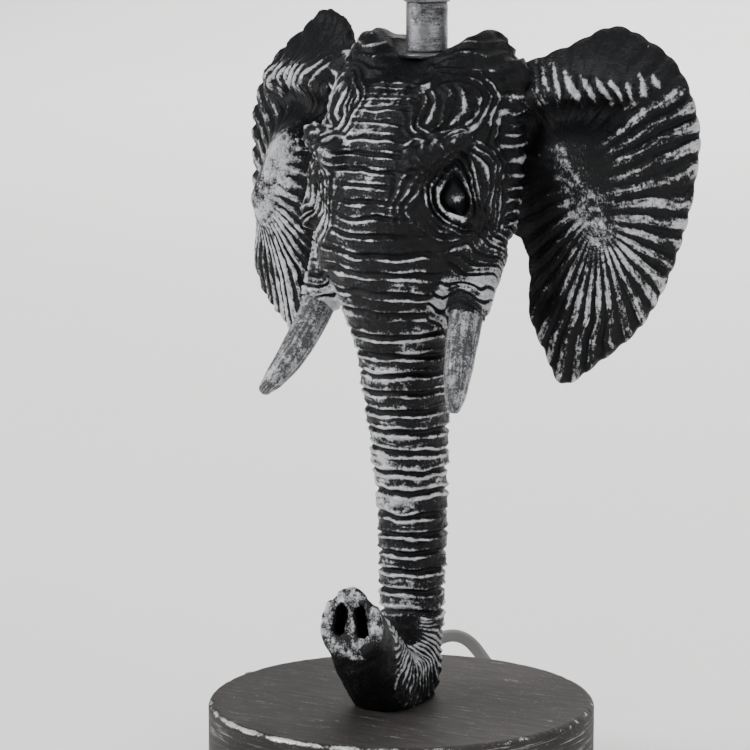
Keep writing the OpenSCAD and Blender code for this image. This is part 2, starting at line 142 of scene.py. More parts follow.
def make_object(name: str, verts: np.ndarray, faces: Iterable[Sequence[int]]) -> bpy.types.Object:
    """Makes a smooth-shaded mesh object in the scene.

    Args:
        name: the object's name.
        verts: corner points in metres.
        faces: corner numbers of each face.

    Returns:
        The new object.
    """
    mesh = bpy.data.meshes.new(name)
    flat = [list(map(int, f)) for f in faces] if not isinstance(faces, np.ndarray) else faces.tolist()
    mesh.from_pydata(np.asarray(verts, float).tolist(), [], flat)
    mesh.validate()
    mesh.polygons.foreach_set("use_smooth", [True] * len(mesh.polygons))
    obj = bpy.data.objects.new(name, mesh)
    bpy.context.scene.collection.objects.link(obj)
    return obj


def give_attribute(obj: bpy.types.Object, name: str, values: np.ndarray) -> None:
    """Stores one number for each corner point of a mesh, for its material to read."""
    layer = obj.data.attributes.new(name, "FLOAT", "POINT")
    layer.data.foreach_set("value", np.asarray(values, np.float32))


def grid_faces(rows: int, columns: int, closed: bool = True) -> np.ndarray:
    """Quads of a grid of points whose rows are rings (closed) or strips."""
    r = np.arange(rows - 1)[:, None]
    c = np.arange(columns if closed else columns - 1)[None, :]
    n = (c + 1) % columns
    a, b = r * columns + c, r * columns + n
    return np.stack([a, b, b + columns, a + columns], -1).reshape(-1, 4)


def lathe(name: str, profile: Sequence[Sequence[float]], centre: Sequence[float] = (0, 0, 0), sides: int = 160,
          shape: Shape | None = None) -> bpy.types.Object:
    """Turns a closed outline round the vertical axis.

    Args:
        name: the object's name.
        profile: radius and height of each point, in millimetres, round the section anticlockwise.
        centre: the axis's place and a height to add, in metres.
        sides: steps round the axis.
        shape: optional change of the radius from the angle and the height, in millimetres.

    Returns:
        The turned object. A profile that starts and ends on the axis makes a solid body.
    """
    rows = np.asarray(profile, float)
    angle = np.linspace(0, 2 * math.pi, sides, endpoint=False)
    r = np.repeat(rows[:, :1], sides, 1)
    z = np.repeat(rows[:, 1:], sides, 1)
    if shape is not None:
        r = r + shape(np.repeat(angle[None], len(rows), 0), z) * (r > 0)
    x = r * np.cos(angle) * MM + centre[0]
    y = r * np.sin(angle) * MM + centre[1]
    verts = np.stack([x, y, z * MM + centre[2]], -1).reshape(-1, 3)
    faces = [list(f) for f in grid_faces(len(rows), sides)]
    solid = rows[0, 0] < 1e-6 and rows[-1, 0] < 1e-6
    if not solid:
        last = (len(rows) - 1) * sides
        faces += [[last + k, last + (k + 1) % sides, (k + 1) % sides, k] for k in range(sides)]
    obj = make_object(name, verts, faces)
    clean(obj)
    return obj


def clean(obj: bpy.types.Object, gap: float = 0.00001) -> None:
    """Merges corner points that coincide and turns every face outwards."""
    work = bmesh.new()
    work.from_mesh(obj.data)
    bmesh.ops.remove_doubles(work, verts=work.verts, dist=gap)
    bmesh.ops.dissolve_degenerate(work, edges=work.edges, dist=gap / 2)
    bmesh.ops.recalc_face_normals(work, faces=work.faces)
    work.to_mesh(obj.data)
    work.free()


def stand_in(obj: bpy.types.Object, slot: str, *nodes: str, body: str = LAMP) -> bpy.types.Object:
    """Makes a piece ride on a body and stand for CAD nodes, which it hides."""
    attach(obj, body)
    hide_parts(*nodes)
    return obj


def arc(cx: float, cz: float, r: float, start: float, stop: float, steps: int = 6) -> list[tuple[float, float]]:
    """Points of a round corner in a profile, from one angle in degrees to another."""
    angles = [math.radians(start + (stop - start) * k / steps) for k in range(steps + 1)]
    return [(cx + r * math.cos(a), cz + r * math.sin(a)) for a in angles]


def frames_along(line: np.ndarray, up: Sequence[float]) -> tuple[np.ndarray, np.ndarray]:
    """Two directions square to a line at each of its points, the second as near to up as it can be."""
    way = np.gradient(line, axis=0)
    way /= np.linalg.norm(way, axis=1, keepdims=True)
    side = np.cross(way, np.asarray(up, float))
    side /= np.linalg.norm(side, axis=1, keepdims=True)
    return side, np.cross(side, way)


# ------------------------------------------------------------------ finishes

Number = "Val | float"


class Val:
    """One value in a material's node tree, on which ordinary arithmetic adds Math nodes."""

    def __init__(self, sheet: "Sheet", socket: bpy.types.NodeSocket) -> None:
        """Wraps an output socket of the sheet's tree."""
        self.sheet, self.socket = sheet, socket

    def _math(self, kind: str, *terms: Number) -> "Val":
        """Adds a Math node of one kind on the terms."""
        return self.sheet.node("ShaderNodeMath", {"operation": kind}, dict(enumerate(terms)))

    def __add__(self, other: Number) -> "Val":
        """Self plus other."""
        return self._math("ADD", self, other)

    def __sub__(self, other: Number) -> "Val":
        """Self less other."""
        return self._math("SUBTRACT", self, other)

    def __rsub__(self, other: Number) -> "Val":
        """Other less self."""
        return self._math("SUBTRACT", other, self)

    def __mul__(self, other: Number) -> "Val":
        """Self times other."""
        return self._math("MULTIPLY", self, other)

    __radd__, __rmul__ = __add__, __mul__

    def step(self, low: float, high: float) -> "Val":
        """Smooth rise from 0 at low to 1 at high."""
        return self.sheet.node("ShaderNodeMapRange", {"interpolation_type": "SMOOTHSTEP"},
                               {"Value": self, "From Min": low, "From Max": high})

    def above(self, other: Number) -> "Val":
        """The larger of self and other."""
        return self._math("MAXIMUM", self, other)

    def upto(self, other: Number) -> "Val":
        """The smaller of self and other."""
        return self._math("MINIMUM", self, other)


class Sheet:
    """A material and the tools to draw its node tree."""

    def __init__(self, name: str) -> None:
        """Starts a material with one Principled shader."""
        self.material = bpy.data.materials.new(name)
        self.material.use_nodes = True
        self.tree = self.material.node_tree
        self.shader = self.tree.nodes["Principled BSDF"]
        self.place = self.node("ShaderNodeTexCoord", output="Object")

    def node(self, kind: str, settings: dict | None = None, inputs: dict | None = None,
             output: str | int = 0) -> Val:
        """Adds any node.

        Args:
            kind: the node's type.
            settings: attributes set before its sockets are used.
            inputs: value or link of each input socket, by name or number.
            output: name or number of the socket that is handed back.

        Returns:
            That output, wrapped.
        """
        made = self.tree.nodes.new(kind)
        for key, value in (settings or {}).items():
            setattr(made, key, value)
        for key, value in (inputs or {}).items():
            self.put(made.inputs[key], value)
        return Val(self, made.outputs[output])

    def put(self, socket: bpy.types.NodeSocket, value: object) -> None:
        """Links a wrapped value to a socket, or sets the socket to a constant."""
        if isinstance(value, Val):
            self.tree.links.new(value.socket, socket)
        elif isinstance(value, tuple) and socket.type == "RGBA" and len(value) == 3:
            socket.default_value = (*value, 1.0)
        else:
            socket.default_value = value

    def set(self, **sockets: object) -> "Sheet":
        """Sets or links the shader's sockets, with _ for the spaces in their names."""
        for key, value in sockets.items():
            self.put(self.shader.inputs[key.replace("_", " ")], value)
        return self

    def stretch(self, x: float, y: float, z: float) -> Val:
        """The object's place, scaled along each axis, for streaks."""
        return self.node("ShaderNodeVectorMath", {"operation": "MULTIPLY"}, {0: self.place, 1: (x, y, z)})

    def noise(self, scale: float, detail: float = 4.0, rough: float = 0.55, at: Val | None = None) -> Val:
        """Cloudy noise between 0 and 1."""
        return self.node("ShaderNodeTexNoise", {}, {"Vector": at or self.place, "Scale": scale,
                                                    "Detail": detail, "Roughness": rough})

    def cells(self, scale: float) -> Val:
        """Distance to the nearest of scattered points."""
        return self.node("ShaderNodeTexVoronoi", {}, {"Vector": self.place, "Scale": scale}, output="Distance")

    def attribute(self, name: str) -> Val:
        """A number stored on the mesh's corner points."""
        return self.node("ShaderNodeAttribute", {"attribute_name": name}, output="Fac")

    def mix(self, mask: Number, low: object, high: object) -> Val:
        """Colour that runs from low to high with the mask."""
        made = self.tree.nodes.new("ShaderNodeMix")
        made.data_type = "RGBA"
        self.put(made.inputs[0], mask)
        self.put(made.inputs[6], low)
        self.put(made.inputs[7], high)
        return Val(self, made.outputs[2])

    def bump(self, height: Val, depth: float) -> Val:
        """Normal of a surface with that height on it, where depth is in metres."""
        return self.node("ShaderNodeBump", {}, {"Strength": 1.0, "Distance": depth, "Height": height})

    def on(self, *objects: bpy.types.Object) -> None:
        """Makes this the only material of each object."""
        for obj in objects:
            if not obj.data.materials:
                obj.data.materials.append(self.material)
            for k in range(len(obj.data.materials)):
                obj.data.materials[k] = self.material


@dataclass(frozen=True)
class BrushedSculpture:
    """Matt black paint with silver brushed over whatever stands proud."""

    black: tuple[float, float, float] = (0.0038, 0.004, 0.0046)
    silver: tuple[float, float, float] = (0.7, 0.71, 0.735)
    edge: float = 0.58
    speckle: float = 0.5
    patchy: float = 1.35

    def make(self, name: str) -> Sheet:
        """Builds the material; the meshes carry relief, 0 to 1, and a second value for where the brush pressed,
        with painted shade and painted highlights mixed into it.
        """
        s = Sheet(name)
        relief, rub = s.attribute("relief"), s.attribute("rub")
        patch = s.noise(42, 5, 0.62)
        small = s.noise(210, 4, 0.6)
        streak = s.noise(1, 6, 0.7, s.stretch(900, 900, 300))
        grain = s.noise(1500, 3, 0.6)
        fine = s.cells(1900)
        tiny = s.noise(620, 3, 0.6)
        wander = (patch - 0.5) * self.patchy + (small - 0.5) * 0.9 + (tiny - 0.5) * 0.7 + (streak - 0.5) * 0.5
        proud = relief + wander + (rub - 0.5) * 1.0 + (grain - 0.5) * self.speckle
        worn = proud.step(self.edge - 0.02, self.edge + 0.3)
        # A grey veil over the black: partly fine silver powder from the brush, partly painted satin sheen.
        dust_and_sheen = relief * 0.5 + rub * 0.6 + wander * 0.6 + (grain - 0.5) * 1.1 + (0.35 - fine) * 0.5
        sheen_haze = dust_and_sheen.step(0.55, 1.12)
        streaked = worn * (0.66 + (grain - 0.4) * 0.9 + (small - 0.4) * 1.3)
        mask = streaked.above(sheen_haze * 0.6).above(0.0).upto(1.0)
        dark = s.mix(s.noise(24, 3), self.black, tuple(2.1 * c for c in self.black))
        grey = s.mix(grain, tuple(0.6 * c for c in self.silver), self.silver)
        height = grain * 0.35 + streak * 0.4 + mask * 0.5 + small * 0.8 + tiny * 0.8
        return s.set(Base_Color=s.mix(mask, dark, grey), Metallic=mask * 0.55,
                     Roughness=0.37 + (patch - 0.5) * 0.16 + mask * 0.03,
                     Normal=s.bump(height, 0.0006), Specular_IOR_Level=0.14)


@dataclass(frozen=True)
class WornDrum:
    """Dark warm grey paint with fine brush strokes, rubbed to silver along its edges."""

    dark: tuple[float, float, float] = (0.0135, 0.0126, 0.0121)
    light: tuple[float, float, float] = (0.05, 0.046, 0.0435)
    silver: tuple[float, float, float] = (0.62, 0.62, 0.63)

    def make(self, name: str) -> Sheet:
        """Builds the material; the mesh carries a value that is 1 on its sharpest edge, for worn silver there,
        raised at the front of the top edge by a painted highlight.
        """
        s = Sheet(name)
        edge_wear_and_highlight, side = s.attribute("edge_wear_and_highlight"), s.attribute("side")
        cloud = s.noise(14, 5, 0.6)
        across = s.noise(1, 7, 0.7, s.stretch(60, 420, 420))
        around = s.noise(1, 6, 0.72, s.stretch(45, 45, 1500))
        grain = s.noise(1300, 3, 0.6)
        strokes = s.mix(side, across, around)
        tone = (cloud * 0.6 + strokes * 0.7 + grain * 0.3 - 0.3).step(0.25, 0.75)
        paint = s.mix(tone, self.dark, self.light)
        chip = s.noise(150, 5, 0.62)
        # Silver from the edge value: real worn silver, with the painted highlight at the front of the top edge.
        rubbed = (edge_wear_and_highlight + (cloud - 0.5) * 0.8 + (chip - 0.5) * 1.7 + (grain - 0.5) * 0.9).step(0.62, 0.98)
        sides = (side * 0.5 + (around - 0.5) * 1.9 + (cloud - 0.5) * 0.5).step(0.62, 0.9) * side * 0.75
        flecks = (across + (grain - 0.5) * 0.7 + (chip - 0.5) * 0.5).step(0.62, 0.86) * 0.3
        mask = rubbed.above(sides).above(flecks)
        return s.set(Base_Color=s.mix(mask, paint, self.silver), Metallic=mask * 0.6,
                     Roughness=0.62 + (cloud - 0.5) * 0.18 - mask * 0.16, Specular_IOR_Level=0.14,
                     Normal=s.bump(strokes * 0.6 + grain * 0.3 - mask * 0.3, 0.00016))


@dataclass(frozen=True)
class StreakedSteel:
    """Silver metal with dark paint left in uneven streaks across it."""

    metal: tuple[float, float, float] = (0.31, 0.315, 0.33)
    dark: tuple[float, float, float] = (0.03, 0.03, 0.032)
    cover: float = 0.55

    def make(self, name: str) -> Sheet:
        """Builds the material."""
        s = Sheet(name)
        cross = s.noise(1, 6, 0.7, s.stretch(160, 160, 900))
        blotch = s.noise(150, 4, 0.6)
        grain = s.noise(1600, 3)
        mask = (cross * 0.6 + blotch * 0.6 + (grain - 0.5) * 0.3).step(self.cover - 0.1, self.cover + 0.16)
        shine = s.mix(grain, tuple(0.75 * c for c in self.metal), self.metal)
        return s.set(Base_Color=s.mix(mask, self.dark, shine),
                     Metallic=0.35 + mask * 0.6, Roughness=0.34 + (cross - 0.5) * 0.22,
                     Normal=s.bump(cross + mask * 0.4, 0.00018))


class MetalLook(Enum):
    """Plain metals: base colour, roughness and how strong the machining lines are."""

    ZINC = ((0.56, 0.57, 0.58), 0.34, 0.5)
    PLATE = ((0.4, 0.405, 0.41), 0.4, 0.8)
    BRASS = ((0.72, 0.52, 0.2), 0.27, 0.4)
    NICKEL = ((0.72, 0.7, 0.67), 0.2, 0.3)
    IRON = ((0.09, 0.085, 0.082), 0.68, 1.0)


@dataclass(frozen=True)
class PlainMetal:
    """Bare or plated metal with fine machining lines and a little tarnish."""

    look: MetalLook

    def make(self, name: str) -> Sheet:
        """Builds the material."""
        colour, rough, lines = self.look.value
        s = Sheet(name)
        tarnish = s.noise(90, 4)
        turned = s.noise(1, 3, 0.5, s.stretch(120, 120, 3200))
        dull = s.mix(tarnish.step(0.45, 0.75), colour, tuple(0.68 * c for c in colour))
        return s.set(Base_Color=dull, Metallic=1.0, Roughness=rough + (tarnish - 0.5) * 0.25,
                     Normal=s.bump(turned * lines + tarnish * 0.3, 0.00006))


@dataclass(frozen=True)
class Moulded:
    """Moulded plastic, rubber, ceramic or flex sheath with fine texture and handling marks."""

    colour: tuple[float, float, float]
    rough: float = 0.45
    grain: float = 1.0
    shift: float = 0.25

    def make(self, name: str) -> Sheet:
        """Builds the material."""
        s = Sheet(name)
        cloud, pits = s.noise(60, 4), s.noise(2600, 2)
        marks = s.noise(1, 5, 0.7, s.stretch(260, 260, 90)).step(0.55, 0.8)
        shade = s.mix(cloud, tuple((1 - self.shift) * c for c in self.colour),
                      tuple((1 + self.shift) * c for c in self.colour))
        return s.set(Base_Color=shade, Roughness=self.rough + (cloud - 0.5) * 0.12 + marks * 0.07,
                     Normal=s.bump(pits * self.grain + marks * 0.2, 0.00005))


@dataclass(frozen=True)
class Felt:
    """Short pressed felt."""

    colour: tuple[float, float, float] = (0.012, 0.012, 0.014)

    def make(self, name: str) -> Sheet:
        """Builds the material."""
        s = Sheet(name)
        fuzz = s.noise(2200, 5, 0.8)
        sheet = s.set(Base_Color=s.mix(fuzz, self.colour, tuple(3 * c for c in self.colour)), Roughness=0.95,
                      Normal=s.bump(fuzz + s.noise(500, 3) * 0.6, 0.0004))
        sheet.set(Sheen_Weight=0.3, Sheen_Roughness=0.5)
        return sheet


# ------------------------------------------------------------------ camera and light

@dataclass(frozen=True)
class Studio:
    """Pale floor, soft light and the camera."""

    eye: tuple[float, float, float] = (0.650, -1.1258, 0.3754)
    yaw: float = 30.45
    pitch: float = 9.18
    lens: float = 164.9

    def camera(self) -> bpy.types.Object:
        """Makes the camera and gives it to the scene."""
        lens = bpy.data.cameras.new("studio_camera")
        lens.lens, lens.sensor_width = self.lens, 36.0
        obj = bpy.data.objects.new("studio_camera", lens)
        obj.location = self.eye
        obj.rotation_euler = (math.radians(90 - self.pitch), 0, math.radians(self.yaw))
        bpy.context.scene.collection.objects.link(obj)
        bpy.context.scene.camera = obj
        return obj

    def light(self, name: str, place: tuple, aim: tuple, size: tuple[float, float], watts: float,
              gloss: bool = True) -> None:
        """Adds one rectangular lamp at a place, turned to a point, that may be left out of reflections."""
        data = bpy.data.lights.new(name, "AREA")
        data.shape, data.energy = "RECTANGLE", watts
        data.size, data.size_y = size
        obj = bpy.data.objects.new(name, data)
        obj.location = place
        obj.rotation_euler = (Vector(aim) - Vector(place)).to_track_quat("-Z", "Y").to_euler()
        obj.visible_glossy = gloss
        bpy.context.scene.collection.objects.link(obj)

    def room(self) -> None:
        """Makes the lights, the pale world and the floor that curves up far behind."""
        self.light("key_window", (-1.35, -1.3, 1.15), (0, 0, 0.2), (0.9, 0.9), 50)
        self.light("side_window", (1.7, -0.5, 0.95), (0, 0, 0.2), (0.5, 1.1), 20)
        self.light("top_sheet", (0.1, 0.5, 1.9), (0, 0.1, 0.1), (1.2, 1.2), 17)
        self.light("far_sheet", (-1.2, 3.4, 3.0), (-1.6, 3.6, 0), (4.2, 3.6), 370, False)
        world = bpy.data.worlds.new("pale_room")
        world.use_nodes = True
        glow = world.node_tree.nodes["Background"]
        glow.inputs["Color"].default_value = (0.9, 0.91, 0.93, 1)
        glow.inputs["Strength"].default_value = 0.16
        bpy.context.scene.world = world
        sweep = [(y, 0.0) for y in np.linspace(-6, 3.2, 12)] + arc(3.2, 2.0, 2.0, -90, 0, 16) + [(5.2, 7.0)]
        rows = [[(x, y, z) for x in (-9.0, 9.0)] for y, z in sweep]
        floor = make_object("studio_floor", np.array(rows).reshape(-1, 3),
                            grid_faces(len(rows), 2, closed=False))
        sheet = Sheet("floor_paint")
        cloud = sheet.noise(3, 3)
        sheet.set(Base_Color=sheet.mix(cloud, (0.74, 0.73, 0.72), (0.78, 0.77, 0.765)), Roughness=0.62)
        sheet.on(floor)


# ------------------------------------------------------------------ flex, plug and bush

@dataclass(frozen=True)
class Flex:
    """Flat twin flex: out of the bush, over one hump, wound in two layers and back to the plug."""

    width: float = 5.4
    thick: float = 3.4
    lead: tuple = ((0, 97, 12), (0, 106, 12), (-8, 114, 13), (-20, 118, 17.5), (-28.5, 118.5, 25), (-33, 116.5, 32),
                   (-39, 114, 35.3), (-46, 112.5, 33), (-56, 114, 26), (-69, 119.5, 16.5), (-81, 122, 8.5),
                   (-92, 119.8, 3.6))
    tail: tuple = ((-115.9, 102, 9), (-120.3, 91, 10.5), (-120.6, 79, 12.9), (-115.5, 70.3, 15.8),
                   (-105.5, 66.2, 18.1), (-91.9, 71.1, 18.6))
    middle: tuple[float, float] = (-83.0, 83.0)
    outer: float = 37.9
    inner: float = 23.1
    layers: tuple[float, float] = (3.6, 9.0)
    sides: int = 24

    def coil(self) -> np.ndarray:
        """Line of the wound part: in along the floor, up at the inside and out on top."""
        start, climb, top = 103.7, 0.3, 3.8286
        turn = np.arange(0, 4 + climb + top, 1 / 40)
        angle = np.radians(start + 360 * turn)
        spread = self.outer - self.inner
        radius = np.where(turn < 4, self.outer - spread * turn / 4,
                          self.inner + spread * np.clip(turn - 4 - climb, 0, None) / top)
        low, high = self.layers
        z = low + (high - low) * smoothstep(4 - 0.1, 4 + climb, turn)
        x, y = self.middle
        return np.stack([x + radius * np.cos(angle), y + radius * np.sin(angle), z], 1)

    def line(self) -> np.ndarray:
        """Whole middle line of the flex, at even distances."""
        wound = self.coil()
        first = spline(list(self.lead) + [wound[3]], 10)
        last = spline([wound[-4]] + list(self.tail), 10)
        line = even(np.vstack([first, wound[4:-5], last]), 1.5)
        for _ in range(14):
            line[1:-1] = 0.25 * line[:-2] + 0.5 * line[1:-1] + 0.25 * line[2:]
        return even(line, 1.6)

    def build(self) -> bpy.types.Object:
        """Makes the flex as one tube with a groove between its two cores."""
        line = self.line()
        side, up = frames_along(line, (0, 0, 1))
        a = np.linspace(0, 2 * math.pi, self.sides, endpoint=False)
        core, off = self.thick / 2, (self.width - self.thick) / 2
        tall = core * np.sin(a) + off * np.sign(np.sin(a)) * np.minimum(np.abs(np.sin(a)) * 3, 1)
        wide = core * np.cos(a) * (1 - 0.16 * bell(np.sin(a), 0, 0.3))
        round_part = np.clip(np.arange(len(line)) / 8.0, 0, 1)[:, None]
        wide = wide[None] * (0.72 + 0.28 * round_part) * np.ones((len(line), 1))
        tall = tall[None] * (0.8 + 0.2 * round_part)
        verts = line[:, None] + side[:, None] * wide[..., None] + up[:, None] * tall[..., None]
        flat = verts.reshape(-1, 3)
        count, m = len(line), self.sides
        faces = [list(f) for f in grid_faces(count, m)]
        faces += [list(range(m))[::-1], list(range((count - 1) * m, count * m))]
        obj = make_object("flex", flat * MM, faces)
        clean(obj)
        stand_in(obj, "flex_grey", "cord_lead", "cord_coil", "cord_tail")
        return obj


# ------------------------------------------------------------------ sculpted head

def to_segment(p: np.ndarray, a: Sequence[float], b: Sequence[float]) -> tuple[np.ndarray, np.ndarray]:
    """Distance of points to the line from a to b, and how far along it they lie, 0 to 1."""
    a, way = np.asarray(a, float), np.asarray(b, float) - np.asarray(a, float)
    t = np.clip(((p - a) @ way) / (way @ way), 0.0, 1.0)
    return np.linalg.norm(p - a - t[..., None] * way, axis=-1), t


class Clay:
    """Solid kept as distances on a grid, in millimetres, so that shapes join and cut softly."""

    def __init__(self, verts: np.ndarray, quads: np.ndarray, voxel: float) -> None:
        """Starts from a closed mesh of quads."""
        self.voxel = voxel
        self.low = np.floor(verts.min(0) / voxel).astype(int) - 10
        high = np.ceil(verts.max(0) / voxel).astype(int) + 10
        steps = openvdb.createLinearTransform(voxelSize=voxel)
        band = openvdb.FloatGrid.createLevelSetFromPolygons(
            np.asarray(verts, np.float32), quads=np.asarray(quads, np.uint32), transform=steps, halfWidth=12)
        self.field = np.zeros(tuple(high - self.low), np.float32)
        band.copyToArray(self.field, ijk=tuple(int(v) for v in self.low))

    def region(self, low: Sequence[float], high: Sequence[float]) -> tuple[tuple[slice, ...], np.ndarray]:
        """Part of the grid between two corners, and the places of its cells in millimetres."""
        a = np.maximum(np.floor(np.asarray(low) / self.voxel).astype(int) - self.low, 0)
        b = np.minimum(np.ceil(np.asarray(high) / self.voxel).astype(int) - self.low, self.field.shape)
        cut = tuple(slice(int(i), int(j)) for i, j in zip(a, b))
        axes = [(np.arange(i, j) + o) * self.voxel for i, j, o in zip(a, b, self.low)]
        return cut, np.stack(np.meshgrid(*axes, indexing="ij"), -1)

    def cone(self, a: Sequence[float], b: Sequence[float], ra: float, rb: float, soft: float) -> None:
        """Joins a cone with round ends on, with a fillet of about soft."""
        reach = max(ra, rb) + soft + 3
        cut, p = self.region(np.minimum(a, b) - reach, np.maximum(a, b) + reach)
        gap, t = to_segment(p, a, b)
        gap = gap - (ra + (rb - ra) * t)
        body = self.field[cut]
        h = np.clip(0.5 + 0.5 * (body - gap) / soft, 0, 1)
        self.field[cut] = body + (gap - body) * h - soft * h * (1 - h)

    def carve(self, a: Sequence[float], b: Sequence[float], r: float, soft: float) -> None:
        """Cuts a slot with round ends and softened edges."""
        reach = r + soft + 3
        cut, p = self.region(np.minimum(a, b) - reach, np.maximum(a, b) + reach)
        gap = r - to_segment(p, a, b)[0]
        body = self.field[cut]
        h = np.clip(0.5 - 0.5 * (body - gap) / soft, 0, 1)
        self.field[cut] = body + (gap - body) * h + soft * h * (1 - h)

    def surface(self) -> tuple[np.ndarray, np.ndarray, np.ndarray]:
        """Corner points in millimetres, outward directions at them, and quads."""
        grid = openvdb.FloatGrid()
        grid.background = 12 * self.voxel
        grid.copyFromArray(self.field)
        points, _, quads = grid.convertToPolygons(0.0, 0.0)
        at = np.clip(points, 1.01, np.array(self.field.shape) - 2.02)
        cell = np.floor(at).astype(int)
        f = at - cell
        slope = np.zeros((len(at), 3))
        for axis in range(3):
            step = np.eye(3, dtype=int)[axis]
            for corner in range(8):
                c = np.array([corner & 1, corner >> 1 & 1, corner >> 2 & 1])
                w = np.prod(np.where(c, f, 1 - f), axis=1)
                q = np.clip(cell + c, 1, np.array(self.field.shape) - 2)
                slope[:, axis] += w * (self.field[tuple((q + step).T)] - self.field[tuple((q - step).T)])
        slope /= np.linalg.norm(slope, axis=1, keepdims=True) + 1e-9
        return (points + self.low) * self.voxel, slope, quads[:, ::-1]


@dataclass(frozen=True)
class Bump:
    """One field of skin relief: where it holds, how strongly, and its height."""

    weight: np.ndarray
    height: np.ndarray
    relief: np.ndarray


@dataclass(frozen=True)
class Head:
    """Elephant's head standing on its trunk, swept along stations and sculpted with skin folds."""

    voxel: float = 0.55
    sides: int = 112
    stations: tuple = (
        (24, 285.4, 0, 3, 3, 3, 0), (24, 285.2, 0, 15, 11.5, 14, 7), (24, 282.4, 0, 27, 20, 22, 13),
        (23, 275.5, 0, 35, 29, 28, 8), (19, 264, 0, 38, 35, 31, 4), (13, 250, 0, 39.5, 37, 32, 1),
        (8, 236, 0, 38.5, 36, 31, 0), (5, 222, 3, 36.5, 33, 28, 0), (1, 209, 3, 33, 28, 24, 0),
        (-1, 196, -6, 24, 21, 20, 0), (1, 180, -9, 19, 17.5, 17, 0), (3, 163, -8, 16.8, 15.5, 15.5, 0),
        (5.5, 144, -6, 15.2, 14.4, 14.4, 0), (7.5, 121, -4, 13.8, 13.2, 13.2, 0),
        (8.6, 102, -1, 12.9, 12.4, 12.4, 0),
        (8.4, 87, 1, 12.2, 11.8, 12, 0), (8, 70, 4, 11.8, 11, 12, 0), (6, 57, 22, 11.8, 9.4, 14, 0),
        (0, 52, 56, 12.2, 8, 21, 0), (-11, 53, 100, 12.6, 9, 21, 0), (-25, 65, 124, 12.6, 11.4, 15.5, 0),
        (-38, 77, 96, 12.6, 12.2, 12.2, 0))
    eye: tuple[float, float, float] = (31.5, -14.5, 237.0)
    tusk_root: tuple[float, float, float] = (30, 6, 214)
    tusk_mouth: tuple[float, float, float] = (31.8, -5, 195.5)
    dome: tuple[float, float, float] = (23.0, -4.0, 268.0)
    brow_tuft: tuple[float, float, float] = (22.0, -20.0, 250.0)
    nape: tuple[float, float, float] = (20.0, 26.0, 316.0)

    def sweep(self) -> tuple[np.ndarray, np.ndarray]:
        """Plain closed skin: rings of points along the stations, and quads."""
        rows = spline(self.stations, 9)
        a = np.linspace(0, 2 * math.pi, self.sides, endpoint=False)[None]
        y, z, lean, half, front, back, lobe = (rows[:, k:k + 1] for k in range(7))
        tilt = np.radians(lean)
        c, s = np.cos(a), np.sin(a)
        power = np.where(s > 0, 1, 1 - 0.4 * np.clip(lean, 0, 80) / 80)
        brow = 2.5 * bell(z, 246, 8) * bell(np.abs(c), 0.72, 0.25) * (s > 0)
        snout = smoothstep(-10, -36, y) * (z < 100)
        x = half * np.sign(c) * np.abs(c) ** power * (1 - 0.42 * snout * np.clip(s, 0, 1) ** 1.4)
        depth = np.where(s > 0, front + brow, back) * np.sign(s) * np.abs(s) ** power
        tall = np.maximum(z + depth * np.sin(tilt) + lobe * np.abs(c) ** 1.5, 38.0)
        ring = np.stack([x, y - depth * np.cos(tilt), tall], -1)
        ends = [np.repeat(ring[[k]].mean(1, keepdims=True), self.sides, 1) for k in (0, -1)]
        ring = np.concatenate([ends[0], ring, ends[1]])
        return ring.reshape(-1, 3), grid_faces(len(ring), self.sides)

    def mass(self) -> Clay:
        """Swept skin with brows, tusk sockets, ear roots and nostrils joined on or cut in."""
        clay = Clay(*self.sweep(), self.voxel)
        for m in (1, -1):
            def at(x: float, y: float, z: float) -> np.ndarray:
                """A place on this side of the head."""
                return np.array([m * x, y, z])
            clay.cone(at(17, -23, 250), at(32.5, -11, 257), 4.4, 4.2, 5)
            clay.cone(at(32, -15, 226), at(33.5, -4, 231), 3.2, 3.0, 5)
            clay.cone(at(*self.tusk_root), at(*self.tusk_mouth), 10.5, 7.7, 7)
            clay.cone(at(31.35, -3.0, 199.0), at(31.7, -4.6, 196.2), 8.5, 8.4, 0.8)
            clay.cone(at(38, 21, 281), at(37, 14, 224), 5.5, 4.5, 5)
            for deep, wide in ((-39, 3.1), (-36, 2.9), (-33, 2.4)):
                clay.carve(at(3.9, deep, 79.8), at(5.2, deep, 73.2), wide, 0.7)
        return clay

    def bands(self, p: np.ndarray, noise: Noise) -> np.ndarray:
        """Count of trunk bands below each point; they grow narrower up the forehead."""
        wave = noise(p, 22) * 1.9 + noise(p + 50, 9) * 1.3 + noise(p - 30, 4) * 0.4
        z = p[:, 2] + wave * 0.8
        pitch = 8 - np.clip(z - 200, 0, 78) * 3.8 / 75
        return np.where(z < 200, z / 8, 25 + (75 / 3.8) * np.log(8 / pitch))

    def fields(self, p: np.ndarray, n: np.ndarray) -> list[Bump]:
        """All the fields of relief at points p whose outward directions are n."""
        rough = Noise(11)
        warp = np.stack([rough(p + k * 31, 9) for k in (1, 2, 3)], 1)
        fine = np.stack([rough(p + k * 17, 3.5) for k in (4, 5, 6)], 1)
        q = p + warp * 1.6 + fine * 0.45
        x, y, z = np.abs(q[:, 0]), q[:, 1], q[:, 2]
        q = np.stack([x, y, z], 1)
        lift = smoothstep(205, 215, z)

        def near(gap: np.ndarray, full: float, none: float) -> np.ndarray:
            """Weight that is 1 up to the distance full and 0 from the distance none."""
            return smoothstep(none, full, gap)

